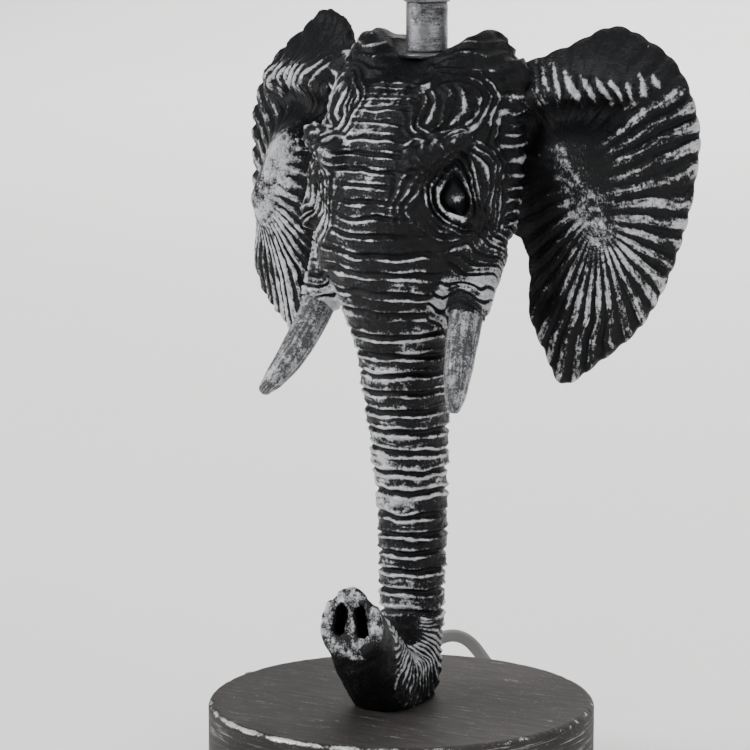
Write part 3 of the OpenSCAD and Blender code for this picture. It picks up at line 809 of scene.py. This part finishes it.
        phase = self.bands(p, rough)
        broad = np.interp(z, [200, 210, 225, 240, 258, 275, 284], [40, 29, 23, 17, 12.5, 10, 9])
        strip = np.where(z < 203, 1.0, smoothstep(0, 1, (broad + 3 - x) / 5) * smoothstep(0.35, -0.1, n[:, 1]))
        strip = strip * smoothstep(60, 68, z + 0.6 * (y - 8)) * smoothstep(290, 282, z)
        split = rough(p * np.array([1, 1, 2.6]), 13)
        ring = fold(phase, 0.36) * (1 - 0.25 * smoothstep(0.1, 0.6, split))
        across = np.abs(phase - np.floor(phase) - 0.5) * 2
        # Silver along the band edges, stronger on the upper edge: partly brushed silver, partly a painted highlight
        # where the lamps catch the upper edges.
        edge = bell(across, 0.55, 0.13) * np.where(phase % 1 > 0.5, 1.0, 0.45)
        tall = np.interp(z, [60, 110, 200, 240, 275], [2.1, 1.7, 1.5, 1.4, 0.9])
        line = crest(phase * 3 + rough(p * np.array([1, 1, 2]), 6) * 0.8)
        worn = 0.3 + 0.36 * smoothstep(-0.2, 0.5, rough(p, 15)) + 0.5 * edge + 0.34 * (line - 0.4)
        out = [Bump(strip * 2.2, tall * (ring - 0.45) * 1.15 + 0.22 * (line - 0.4), ring * worn)]

        bend = np.degrees(np.arctan2(z - 67, y + 5.5))
        fan = crest(bend / 8.5 + rough(p, 6) * 0.5)
        low = smoothstep(72, 63, z + 0.6 * (y - 8)) * smoothstep(-31, -24, y)
        # Downward-facing skin low on the trunk: the fan is left off it and it gets almost no silver, painted shade
        # beneath the curl.
        underside_shade = smoothstep(-0.35, -0.75, n[:, 2] * 0.85 + n[:, 1] * 0.75) * (z < 74) * (y < 6)
        out.append(Bump(low * (1 - underside_shade) * 2.5, 1.1 * (fan - 0.4), fan))
        snout = smoothstep(-24, -31, y) * (z < 100)
        behind = (p[:, 1] + 38) * 0.9945 - (p[:, 2] - 77) * 0.1045
        lip = smoothstep(2.8, 1.0, behind)
        skin = 0.5 + rough.rough(p, 5) * 0.4
        out.append(Bump(snout * 3 + underside_shade * 3, 0.75 * lip + 0.12 * skin - 0.1, 0.1 + 0.75 * lip * skin))

        centre = np.array(self.eye)
        ahead = np.array([-0.63, -0.777, 0.0])
        d = q - centre
        u, v = d @ ahead, d[:, 2]
        turn = math.radians(-17)
        e1, e2 = u * math.cos(turn) + v * math.sin(turn), -u * math.sin(turn) + v * math.cos(turn)
        almond = ((np.abs(e1 + 0.012 * e2 ** 2) / 5.2) ** 1.8 + (np.abs(e2) / 8.2) ** 1.8) ** (1 / 1.8)
        far = np.linalg.norm(d, axis=1)
        metric = [0, 0.35, 0.6, 0.78, 0.9, 1.02, 1.16, 1.34, 1.5, 1.7, 1.9, 2.1, 2.32, 2.6]
        profile = np.interp(almond, metric,
                            [2.3, 2.0, 1.1, -0.4, -1.7, 0.9, 1.9, 0.5, -1.3, 0.9, -1.0, 0.9, -0.7, 0.4])
        shine = np.interp(almond, metric,
                          [0.75, 0.4, 0.15, 0.05, 0.0, 0.4, 0.7, 0.4, 0.0, 0.75, 0.05, 0.7, 0.1, 0.6])
        beyond = crest(far / 3.5 + np.arctan2(e2, e1) * 0.35 + rough(p, 8) * 0.95)
        blend = smoothstep(2.1, 2.7, almond)
        facing = smoothstep(0.1, 0.45, np.abs(n[:, 0]) * 0.777 - n[:, 1] * 0.63)
        eye_w = near(far, 16, 30) * facing * (z > 212)
        out.append(Bump(eye_w * 4, profile * 1.15 * (1 - blend) + blend * 1.6 * (beyond - 0.45),
                        shine * (1 - blend) + blend * beyond))

        dd = q - np.array(self.dome)
        swirl = np.linalg.norm(dd * np.array([1, 1, 1.15]), axis=1)
        spin = np.arctan2(dd[:, 2], dd[:, 0])
        curl = crest(swirl / 4.4 + 0.5 * np.cos(2 * spin + 0.6) + rough(p, 8) * 0.9)
        stroke = crest((0.86 * dd[:, 0] - 0.5 * dd[:, 2] + 0.05 * (dd[:, 2] + 4) ** 2) / 3.6 + rough(p, 6) * 0.5)
        oval = smoothstep(12.5, 9.5, swirl + 2 * rough(p, 9))
        out.append(Bump(near(swirl, 14, 30) * smoothstep(0.45, -0.1, n[:, 1]) * (z > 238) * 1.7,
                        1.7 * (curl * (1 - oval) + stroke * oval - 0.4), curl * (1 - oval) + stroke * oval))
        tuft = q - np.array(self.brow_tuft)
        strand = crest((0.9 * tuft[:, 2] + 0.45 * tuft[:, 0] + 0.06 * tuft[:, 0] ** 2) / 3.3 + rough(p, 6) * 0.5)
        reach = np.linalg.norm(tuft * np.array([1.0, 1.0, 0.8]), axis=1)
        out.append(Bump(near(reach, 7, 12) * (n[:, 1] < 0.2) * 3.2, 1.6 * (strand - 0.4), strand))

        over = np.linalg.norm((q - np.array(self.nape)) * np.array([0.8, 0.55, 1]), axis=1)
        sweep = crest(over / 4.8 + rough(p, 11) * 0.7)
        out.append(Bump(0.8 * lift * smoothstep(-22, 4, y), 1.5 * (sweep - 0.4), sweep))

        axis = np.array(self.tusk_mouth) - np.array(self.tusk_root)
        along = (q - np.array(self.tusk_root)) @ (axis / np.linalg.norm(axis))
        off, _ = to_segment(q, np.array(self.tusk_root) - axis * 0.5, self.tusk_mouth)
        wrap = fold(along / 4.1 + rough(p, 8) * 0.45, 0.4)
        out.append(Bump(near(off, 12, 19) * (z < 224) * (x > 17) * 5, 1.4 * (wrap - 0.45), wrap))
        return out

    def build(self) -> bpy.types.Object:
        """Sculpts the head and stores its relief for the paint."""
        p, n, quads = self.mass().surface()
        fields = self.fields(p, n)
        weights = np.stack([np.clip(f.weight, 0, None) for f in fields]) ** 2 + 1e-6
        weights /= weights.sum(0)
        height = sum(w * f.height for w, f in zip(weights, fields))
        relief = sum(w * f.relief for w, f in zip(weights, fields))
        lumps = Noise(5)
        height = height + lumps(p, 6) * 0.4 + lumps(p, 2.2) * 0.16
        relief = relief * (0.9 + 0.45 * lumps(p + 40, 7))
        base = smoothstep(38.0, 40.5, p[:, 2])
        crown = smoothstep(11.0, 16.0, np.hypot(p[:, 0], p[:, 1] - 19)) + (p[:, 2] < 278)
        hole = (np.abs(p[:, 0]) < 9) & (p[:, 1] < -30) & (p[:, 2] > 69) & (p[:, 2] < 86) & (n[:, 1] > -0.7)
        height = height * base * np.clip(crown, 0, 1) * np.where(hole, 0.1, 1)
        obj = make_object("elephant_head", (p + n * height[:, None]) * MM, quads)
        relief = np.clip(relief * 0.95 + height * 0.08, 0, 1) * np.where(hole, 0.05, 1)
        give_attribute(obj, "relief", relief)
        # More silver on the side towards the key lamp (negative x): partly brushed silver, partly painted light on
        # the lit side.
        side = smoothstep(20, -30, p[:, 0] + 0.3 * p[:, 1])
        trunk = smoothstep(215, 180, p[:, 2]) * smoothstep(60, 90, p[:, 2])
        snout = smoothstep(-26, -34, p[:, 1]) * (p[:, 2] < 100)
        bend = smoothstep(84, 66, p[:, 2]) * (1 - snout)
        # More silver along the trunk and its bend, less on the crown; less at the bottom of the trunk where it
        # meets the drum and behind the ears at the back of the head, painted shade there.
        rub = 0.5 + 0.14 * side + 0.14 * trunk + 0.06 * snout - 0.28 * smoothstep(268, 286, p[:, 2]) \
            + 0.2 * bend - 0.45 * smoothstep(58, 40, p[:, 2]) * (1 - snout) \
            - 0.3 * smoothstep(14, 30, p[:, 1]) * smoothstep(205, 225, p[:, 2])
        give_attribute(obj, "rub", np.clip(rub, 0, 1))
        return stand_in(obj, "sculpture", "head_casting")


# ------------------------------------------------------------------ ears and tusks

@dataclass(frozen=True)
class Ear:
    """One spread ear: ribs that fan out from a standing ridge to a scalloped rim."""

    side: int = 1
    rim: tuple = ((38, 26, 284), (54, 33, 291), (68, 42, 298), (81, 46, 293), (91, 50, 284), (97.5, 51, 271),
                  (100.5, 51, 258), (100, 50, 245), (98.5, 48, 231), (95, 45.5, 215), (90, 42, 199), (82, 37, 184),
                  (69.5, 29, 171.5), (58, 22, 163.5), (51, 20, 176), (45, 19, 190), (45, 19, 204), (43, 18, 216),
                  (36, 16, 224), (31, 15, 240), (31, 18, 258), (33, 22, 272))
    hub: tuple = ((56, 14, 262), (63, 17, 248), (70, 21, 232), (76, 25, 218))
    forward: tuple[float, float, float] = (0.447, -0.894, 0.0)
    pitch: float = 8.6
    rings: int = 100

    def dish(self, x: np.ndarray, z: np.ndarray) -> np.ndarray:
        """How far the plain sheet stands forward at a place, in millimetres."""
        p = np.stack([x, z], -1)

        def mound(a: tuple, b: tuple, r: float) -> np.ndarray:
            """Smooth ridge over the line from a to b."""
            return bell(to_segment(p, a, b)[0], 0, r)

        fold_over = mound((42, 272), (60, 277), 5.5) + mound((60, 277), (80, 274), 5.5)
        ridge = mound((60, 254), (73, 228), 8) + 0.7 * mound((73, 228), (82, 200), 9)
        cup = mound((50, 261), (70, 266), 9)
        well = mound((42, 250), (50, 200), 10)
        lobe = smoothstep(270, 298, z)
        return 4.6 * fold_over.clip(0, 1) + 4.2 * ridge - 8.0 * cup - 5.5 * well - 7 * lobe

    def build(self) -> bpy.types.Object:
        """Makes the ear as one closed sheet and stores its relief and its rubbed places, with painted shade in its
        hollows and, on the far ear, a painted highlight along its ridge.
        """
        noise = Noise(21 + (self.side > 0))
        closed = [*self.rim, self.rim[0]]
        edge = even(spline(closed, 12), 0.88)[:-1]
        count = len(edge)
        if self.side < 0:
            high, far = smoothstep(280, 298, edge[:, 2]), smoothstep(70, 85, edge[:, 0])
            edge[:, 2] += 6.0 * bell(edge[:, 0], 52, 9) * (edge[:, 2] > 270)
            edge[:, 0] -= 4.0 * high + 3.2 * far * smoothstep(192, 212, edge[:, 2])
            edge[:, 2] += 3.0 * high + 7.0 * smoothstep(190, 166, edge[:, 2])
        run = np.arange(count) * float(np.linalg.norm(edge[1] - edge[0]))
        ends = spline(self.hub, 16)
        gap = np.linalg.norm(edge[:, None, [0, 2]] - ends[None, :, [0, 2]], axis=2)
        soft = np.exp(-gap / 9.0)
        soft /= soft.sum(1, keepdims=True)
        root = soft @ ends
        inner = run > run[-1] * 0.5
        t = np.linspace(0, 1, self.rings)[None, :, None] ** 0.9
        sheet = root[:, None] * (1 - t) + edge[:, None] * t
        flat = sheet.reshape(-1, 3)
        tt = np.repeat(t[:, :, 0], count, 0)
        wander = noise(flat * np.array([1, 0, 1]) + 9, 26) * 2.6 + noise(flat, 9) * 0.8
        wander = wander.reshape(count, self.rings)
        phase = run[:, None] / self.pitch + wander / self.pitch * 1.6
        strength = noise(np.stack([run / 8, run * 0, run * 0], 1), 1.0)[:, None]
        rib = 0.55 * crest(phase) + 0.45 * fold(phase, 0.5)
        spread = smoothstep(0.08, 0.42, tt)
        fine = crest(phase * 3.1 + noise(flat, 5).reshape(count, self.rings) * 0.7)
        z, x = sheet[..., 2], sheet[..., 0]
        high = smoothstep(272, 284, z)
        body = smoothstep(44, 58, x) * np.where(inner[:, None], 0.75, 1.0)
        amp = 2.5 * tt ** 0.7 * smoothstep(0.06, 0.4, tt) * (0.75 + 0.4 * strength) * (1 - 0.45 * high) \
            * (0.35 + 0.65 * body)
        curl = bell(z - 277.5 + 3 * np.sin(x / 9), 0, 6.5) * smoothstep(40, 48, x) * smoothstep(92, 80, x)
        slant = crest((x + 0.55 * (z - 276)) / 4.7 + noise(flat, 8).reshape(count, self.rings) * 0.4)
        height = self.dish(x, z) + amp * (rib - 0.4) + 0.5 * tt * spread * (fine - 0.4) \
            + curl * 1.5 * (slant - 0.4)
        height += noise(flat, 4).reshape(count, self.rings) * 0.35
        relief = np.clip(0.45 + (rib - 0.45) * spread + 0.3 * spread * (fine - 0.5), 0, 1)
        relief = relief * (1 - curl) + curl * slant
        hair = crest(phase * 1.7 + 0.3) ** 2.2
        relief = relief * (1 - high) + high * (1 - curl) * (0.22 + 0.7 * hair) + high * curl * relief
        notch = (rib - 0.5) * 0.9 * tt ** 9
        outward = (edge - root)[:, None, [0, 2]]
        outward = outward / np.linalg.norm(outward, axis=2, keepdims=True)
        sheet = sheet.copy()
        sheet[..., 0] += notch * outward[..., 0]
        sheet[..., 2] += notch * outward[..., 1]
        way = np.array(self.forward)
        half = (2.6 - 0.9 * tt) * np.sqrt(np.clip(1 - np.clip((tt - 0.955) / 0.045, 0, 1) ** 2, 0.02, 1))
        front = sheet + way * (height + half)[..., None]
        back = sheet + way * (height * 0.85 - 0.15 * amp * (rib - 0.4) - half)[..., None]
        verts = np.concatenate([front.reshape(-1, 3), back.reshape(-1, 3)])
        grid = grid_faces(self.rings, count).tolist()
        order = np.arange(count * self.rings).reshape(count, self.rings).T.reshape(-1)
        faces = [[int(order[k]) for k in f] for f in grid]
        shift = count * self.rings
        faces += [[k + shift for k in f[::-1]] for f in faces]
        last = [k * self.rings + self.rings - 1 for k in range(count)]
        faces += [[a, b, b + shift, a + shift] for a, b in zip(last, last[1:] + last[:1])]
        verts[:, 0] *= self.side
        hand = "left" if self.side > 0 else "right"
        obj = make_object("ear_skin_" + hand, verts * MM, faces)
        ridge = self.glow(x, z, tt)
        lit = np.clip(ridge - 0.5 * high * (1 - curl) + 0.35 * curl, 0, 1)
        # The right ear, the far one, is a little darker all over, with a lighter band down its standing ridge:
        # partly brushed silver, partly a painted highlight on the ridge.
        if self.side < 0:
            lit = lit - 0.1 + 0.32 * bell(x - 62 - (250 - z) * 0.1, 0, 12) * smoothstep(285, 262, z)
            lit = np.clip(lit, 0, 1)
        give_attribute(obj, "relief", np.concatenate([relief.reshape(-1), 0.8 * relief.reshape(-1)]))
        give_attribute(obj, "rub", np.concatenate([lit.reshape(-1), np.full(lit.size, 0.42)]))
        clean(obj, 0.00002)
        return stand_in(obj, "sculpture", "ear_" + hand)

    def glow(self, x: np.ndarray, z: np.ndarray, tt: np.ndarray) -> np.ndarray:
        """Where the silver brush pressed: the standing ridge, the ribs below it and the rim; the well by the root
        and the cup below the fold get less, painted shade in these hollows.
        """
        p = np.stack([x, z], -1)
        ridge = bell(to_segment(p, (57, 258), (66, 232))[0], 0, 6)
        ridge += bell(to_segment(p, (64, 236), (88, 202))[0], 0, 6)
        # Painted shade: less silver in the well by the root and in the cup below the fold.
        dark = bell(to_segment(p, (42, 256), (52, 196))[0], 0, 9)
        dark += bell(to_segment(p, (50, 261), (68, 265))[0], 0, 7)
        return 0.44 + 0.3 * np.clip(ridge, 0, 1) + 0.12 * smoothstep(0.75, 1.0, tt) - 0.6 * np.clip(dark, 0, 1)


@dataclass(frozen=True)
class Tusk:
    """One curved tusk with long scratches and a worn tip."""

    side: int = 1
    sides: int = 56
    line: tuple = ((28.6, 7.5, 215, 3), (29, 6, 212, 4), (30, 1, 204, 5.6), (31.5, -4, 197, 6.4),
                   (33.5, -12, 185, 6.2), (36.5, -21, 173, 5.4), (39.5, -28.5, 165, 4.1), (41.3, -32.6, 161, 2.5))

    def build(self) -> bpy.types.Object:
        """Makes the tusk as a closed tapered tube."""
        noise, m = Noise(31), self.sides
        rows = spline(self.line, 12)
        way = rows[-1, :3] - rows[-2, :3]
        way /= np.linalg.norm(way)
        tip = rows[-1, 3]
        cap = [np.append(rows[-1, :3] + way * tip * math.sin(b) * 0.8, tip * math.cos(b))
               for b in np.linspace(0.15, 1.52, 8)]
        rows = np.vstack([rows, cap])
        side, up = frames_along(rows[:, :3] + np.arange(len(rows))[:, None] * 1e-6, (1, 0, 0.2))
        a = np.linspace(0, 2 * math.pi, m, endpoint=False)
        ring = rows[:, None, :3] + rows[:, None, 3:] * (np.cos(a)[None, :, None] * side[:, None]
                                                        + np.sin(a)[None, :, None] * up[:, None])
        middle = np.repeat(rows[:, None, :3], m, 1)
        out = ring - middle
        out /= np.linalg.norm(out, axis=2, keepdims=True) + 1e-9
        run = np.repeat(np.linspace(0, 1, len(rows))[:, None], m, 1)
        round_it = np.repeat(a[None], len(rows), 0)
        grain = noise(np.stack([run * 16, np.cos(round_it) * 9, np.sin(round_it) * 9], -1).reshape(-1, 3), 1.1)
        grain = grain.reshape(ring.shape[:2])
        lumps = noise(ring.reshape(-1, 3), 7).reshape(ring.shape[:2])
        ring = ring + out * (grain * 0.13 + lumps * 0.2)[..., None]
        n = len(rows)
        faces = grid_faces(n, m).tolist() + [list(range(m)), list(range((n - 1) * m, n * m))[::-1]]
        verts = ring.reshape(-1, 3) * np.array([self.side, 1, 1])
        hand = "left" if self.side > 0 else "right"
        obj = make_object("tusk_" + hand[0] + "_ivory", verts * MM, faces)
        give_attribute(obj, "relief", (0.6 + 0.3 * grain).reshape(-1))
        give_attribute(obj, "rub", (0.68 - 0.3 * smoothstep(0.4, 0.25, run)).reshape(-1))
        clean(obj)
        return stand_in(obj, "sculpture", "tusk_" + hand)


# ------------------------------------------------------------------ base, stem and lampholder

STEM_Y = 19.0


def turned(name: str, node: str, profile: list, slot: str, sides: int = 180, body: str = LAMP,
           shape: Shape | None = None) -> bpy.types.Object:
    """Makes one part turned round the stem's axis, which stands for a CAD node."""
    return stand_in(lathe(name, profile, (0, STEM_Y * MM, 0), sides, shape), slot, node, body=body)


@dataclass(frozen=True)
class Base:
    """Weighted drum with a worn edge."""

    radius: float = 75.0
    wall: float = 4.0
    height: float = 38.0
    top: float = 5.0
    edge: float = 2.6

    def drum(self) -> bpy.types.Object:
        """Makes the drum: a turned shell whose edge and faces are slightly uneven."""
        noise = Noise(41)
        r, h, e = self.radius, self.height, self.edge
        skirt = [(r, z) for z in np.linspace(2.2, h - e - 0.5, 26)]
        lid = [(x, h) for x in np.linspace(r - e - 0.6, 0, 40)]
        inner = [(0, h - self.top), (r - self.wall, h - self.top), (r - self.wall, 1.0)]
        profile = inner + [(r - 0.8, 1.0)] + arc(r - 0.8, 1.8, 0.8, -90, 0, 3)[1:] + skirt \
            + arc(r - e, h - e, e, 0, 90, 10) + lid
        obj = lathe("drum_shell", profile, sides=360)
        co = np.array([v.co for v in obj.data.vertices]) / MM
        way = np.stack([co[:, 0], co[:, 1]], 1) / (np.hypot(co[:, 0], co[:, 1])[:, None] + 1e-6)
        radius = np.hypot(co[:, 0], co[:, 1])
        outer = smoothstep(r - 3.5, r - 1.2, radius)
        edge = bell(radius, r - 0.8, 1.5) * bell(co[:, 2], h - 0.8, 1.7)
        chips = -0.35 * edge * smoothstep(0.1, 0.6, noise(co, 3.5)) - 0.12 * outer * np.abs(noise(co, 11))
        co[:, :2] += way * chips[:, None]
        co[:, 2] -= 0.3 * edge * smoothstep(0.0, 0.6, noise(co + 9, 4.5))
        obj.data.vertices.foreach_set("co", (co * MM).ravel())
        facing = np.degrees(np.arctan2(co[:, 1], co[:, 0]))
        # Worn silver all round the top edge, raised towards the front as a painted highlight where the lamps glint
        # on the rounded edge; a little worn silver on the bottom edge too.
        front = bell(facing + 110, 0, 38)
        low = bell(co[:, 2], 1.5, 1.2) * 0.5
        give_attribute(obj, "edge_wear_and_highlight", np.clip(edge * (0.5 + 0.6 * front) + low, 0, 1))
        give_attribute(obj, "side", smoothstep(h - 0.7, h - 2.4, co[:, 2]) * outer)
        self.sink(obj)
        return stand_in(obj, "drum_paint", "base_drum")

    def sink(self, obj: bpy.types.Object) -> None:
        """Cuts the flex's hole through the wall and the conduit's hole through the lid."""
        cutters = [("hole_wall", (0, self.radius - 2, 12.0), 9.4, 9.0, (math.radians(90), 0, 0)),
                   ("hole_lid", (0, 7, self.height - 3), 10.4, 9.0, (0, 0, 0))]
        for name, place, wide, long, turn in cutters:
            r, end = wide / 2, long / 2
            tool = lathe(name, [(0, -end), (r, -end), (r, end), (0, end)], sides=40)
            tool.location = [c * MM for c in place]
            tool.rotation_euler = turn
            cut = obj.modifiers.new(name, "BOOLEAN")
            cut.object, cut.operation, cut.solver = tool, "DIFFERENCE", "EXACT"
            bpy.context.view_layer.update()
            mesh = bpy.data.meshes.new_from_object(obj.evaluated_get(bpy.context.evaluated_depsgraph_get()))
            obj.modifiers.clear()
            obj.data = mesh
            bpy.data.objects.remove(tool)


@dataclass(frozen=True)
class Stem:
    """Washer on the head, sleeve over the conduit and the collar that the lampholder sits on."""

    seat: float = 286.0
    sides: int = 128

    def build(self) -> list[bpy.types.Object]:
        """Makes the three parts."""
        z = self.seat
        noise = Noise(51)

        def hammered(a: np.ndarray, h: np.ndarray) -> np.ndarray:
            """Slight unevenness of the metal."""
            p = np.stack([np.cos(a) * 8, np.sin(a) * 8, h], -1).reshape(-1, 3)
            return (noise(p, 4) * 0.05 + noise(p * np.array([0.5, 0.5, 3]), 1.6) * 0.03).reshape(a.shape)

        washer = [(5.3, z), (10.9, z), *arc(10.7, z + 1.0, 0.6, -60, 60, 6), (10.9, z + 2), (5.3, z + 2)]
        rows = [(8.0, h) for h in np.linspace(z + 2.8, z + 20.2, 60)]
        sleeve = [(5.1, z + 2), (7.5, z + 2), (7.8, z + 2.2), *rows,
                  (7.8, z + 20.8), (7.5, z + 21), (5.1, z + 21)]
        collar = [(5.1, z + 21), (8.5, z + 21), *arc(8.5, z + 21.5, 0.5, -90, 0, 4),
                  *arc(8.5, z + 25.5, 0.5, 0, 90, 4), (5.1, z + 26)]
        plan = (("stem_washer", "head_washer", washer), ("stem_tube_sleeve", "stem_sleeve", sleeve),
                ("stem_top_collar", "stem_collar", collar))
        return [turned(name, node, profile, "stem_metal", self.sides, shape=hammered)
                for name, node, profile in plan]


@dataclass(frozen=True)
class Lampholder:
    """Outside of the screw lampholder: ribbed shade ring and threaded sleeve."""

    ring_z: float = 342.3
    grip_ribs: int = 36
    thread_pitch: float = 2.4

    def ring(self) -> bpy.types.Object:
        """Makes the shade ring, with grip ribs round it and a wide flange."""
        z = self.ring_z

        def ribs(a: np.ndarray, h: np.ndarray) -> np.ndarray:
            """Grip ribs above the flange."""
            grip = smoothstep(z + 2.0, z + 2.7, h) * smoothstep(z + 8.9, z + 8.2, h)
            return grip * 0.75 * (0.5 + 0.5 * np.cos(a * self.grip_ribs)) ** 0.6

        profile = [(19.6, z), (28.6, z), *arc(28.4, z + 0.6, 0.6, -80, 0, 4), *arc(28.4, z + 1.4, 0.6, 0, 90, 4),
                   (23.2, z + 2), (22.4, z + 2.3)]
        profile += [(22.3, h) for h in np.linspace(z + 2.8, z + 8.2, 8)] + [(22.1, z + 8.8), (21.7, z + 9)]
        profile += [(20.0, z + 9), (19.6, z + 8.6)]
        profile += [(19.6, h) for h in np.linspace(z + 8.2, z + 0.4, 16)]
        return turned("shade_ring_grip", "shade_ring", profile, "black_plastic", body="shade_ring", shape=ribs)

    def sleeve(self) -> bpy.types.Object:
        """Makes the outer sleeve with its thread and shoulder."""
        def thread(a: np.ndarray, h: np.ndarray) -> np.ndarray:
            """Depth of the thread, which fades out at both ends."""
            wave = 0.5 + 0.5 * np.cos(2 * math.pi * (h / self.thread_pitch) - a)
            return -0.7 * (1 - wave ** 1.3) * smoothstep(342.8, 344.2, h) * smoothstep(368.6, 367.2, h)
        profile = [(16.5, 338), (20.6, 338), *arc(20.5, 338.5, 0.5, -80, 0, 3), *arc(20.5, 341.4, 0.5, 0, 90, 3),
                   (19.6, 342)]
        profile += [(19.45, h) for h in np.linspace(342.4, 369.2, 110)]
        profile += [(19.2, 369.8), (18.9, 370), (17, 370), (16.6, 369.8)]
        profile += [(16.5, h) for h in (360, 350, 342, 339)]
        obj = turned("holder_outer_sleeve", "holder_sleeve", profile, "black_plastic")
        co = np.array([v.co for v in obj.data.vertices]) / MM
        x, y = co[:, 0], co[:, 1] - STEM_Y
        r = np.hypot(x, y)
        push = thread(np.arctan2(y, x), co[:, 2]) * (r > 18.5)
        co[:, 0] += push * x / r
        co[:, 1] += push * y / r
        obj.data.vertices.foreach_set("co", (co * MM).ravel())
        return obj


# ------------------------------------------------------------------ the whole lamp

@dataclass(frozen=True)
class Finishes:
    """Every material of the lamp, made once."""

    sculpture: Sheet
    tusk: Sheet
    drum: Sheet
    stem: Sheet
    zinc: Sheet
    plate: Sheet
    brass: Sheet
    nickel: Sheet
    iron: Sheet
    plastic: Sheet
    ceramic: Sheet
    rubber: Sheet
    flex: Sheet
    felt: Sheet

    @classmethod
    def make(cls) -> "Finishes":
        """Builds them all."""
        return cls(
            sculpture=BrushedSculpture().make("sculpture_paint"),
            tusk=BrushedSculpture((0.045, 0.046, 0.049), (0.56, 0.57, 0.59), 0.62, 1.0, 0.5).make("tusk_paint"),
            drum=WornDrum().make("drum_finish"),
            stem=StreakedSteel().make("stem_finish"),
            zinc=PlainMetal(MetalLook.ZINC).make("zinc_finish"),
            plate=PlainMetal(MetalLook.PLATE).make("plate_finish"),
            brass=PlainMetal(MetalLook.BRASS).make("brass_finish"),
            nickel=PlainMetal(MetalLook.NICKEL).make("nickel_finish"),
            iron=PlainMetal(MetalLook.IRON).make("iron_finish"),
            plastic=Moulded((0.018, 0.018, 0.019), 0.38).make("plastic_finish"),
            ceramic=Moulded((0.78, 0.76, 0.72), 0.28, 0.4, 0.06).make("ceramic_finish"),
            rubber=Moulded((0.02, 0.02, 0.021), 0.55).make("rubber_finish"),
            flex=Moulded((0.15, 0.148, 0.145), 0.5, 0.8, 0.12).make("flex_finish"),
            felt=Felt().make("felt_finish"))

    def dress_cad(self) -> None:
        """Gives every CAD node that stays in view its finish."""
        plan = {
            self.iron: ("ballast_disc",), self.plate: ("base_plate",),
            self.zinc: ("base_plate_screws", "base_washer", "base_nut", "conduit_tube", "clamp_screws"),
            self.felt: ("felt_disc",), self.ceramic: ("holder_insert",),
            self.brass: ("contact_centre", "contact_side", "screw_shell", "terminal_screws"),
            self.plastic: ("holder_cap", "switch_bar", "cord_clamp", "coil_tie"),
            self.rubber: ("cord_bush", "plug_body"), self.nickel: ("plug_pins",), self.flex: ("inner_cord",)}
        for finish, nodes in plan.items():
            for node in nodes:
                finish.on(bpy.data.objects[node])


def main() -> None:
    """Builds the lamp piece by piece."""
    logging.basicConfig(level=logging.INFO, format="%(message)s")
    studio = Studio()
    studio.camera()
    flex = Flex().build()
    LOG.info("camera and flex made")
    studio.room()
    finishes = Finishes.make()
    finishes.flex.on(flex)
    finishes.dress_cad()
    LOG.info("room and finishes made")
    finishes.sculpture.on(Head().build())
    LOG.info("head made")
    for side in (1, -1):
        finishes.sculpture.on(Ear(side).build())
        finishes.tusk.on(Tusk(side).build())
    LOG.info("ears and tusks made")
    finishes.drum.on(Base().drum())
    finishes.stem.on(*Stem().build())
    holder = Lampholder()
    finishes.plastic.on(holder.ring(), holder.sleeve())
    LOG.info("base, stem and lampholder made")


if __name__ == "__main__":
    main()
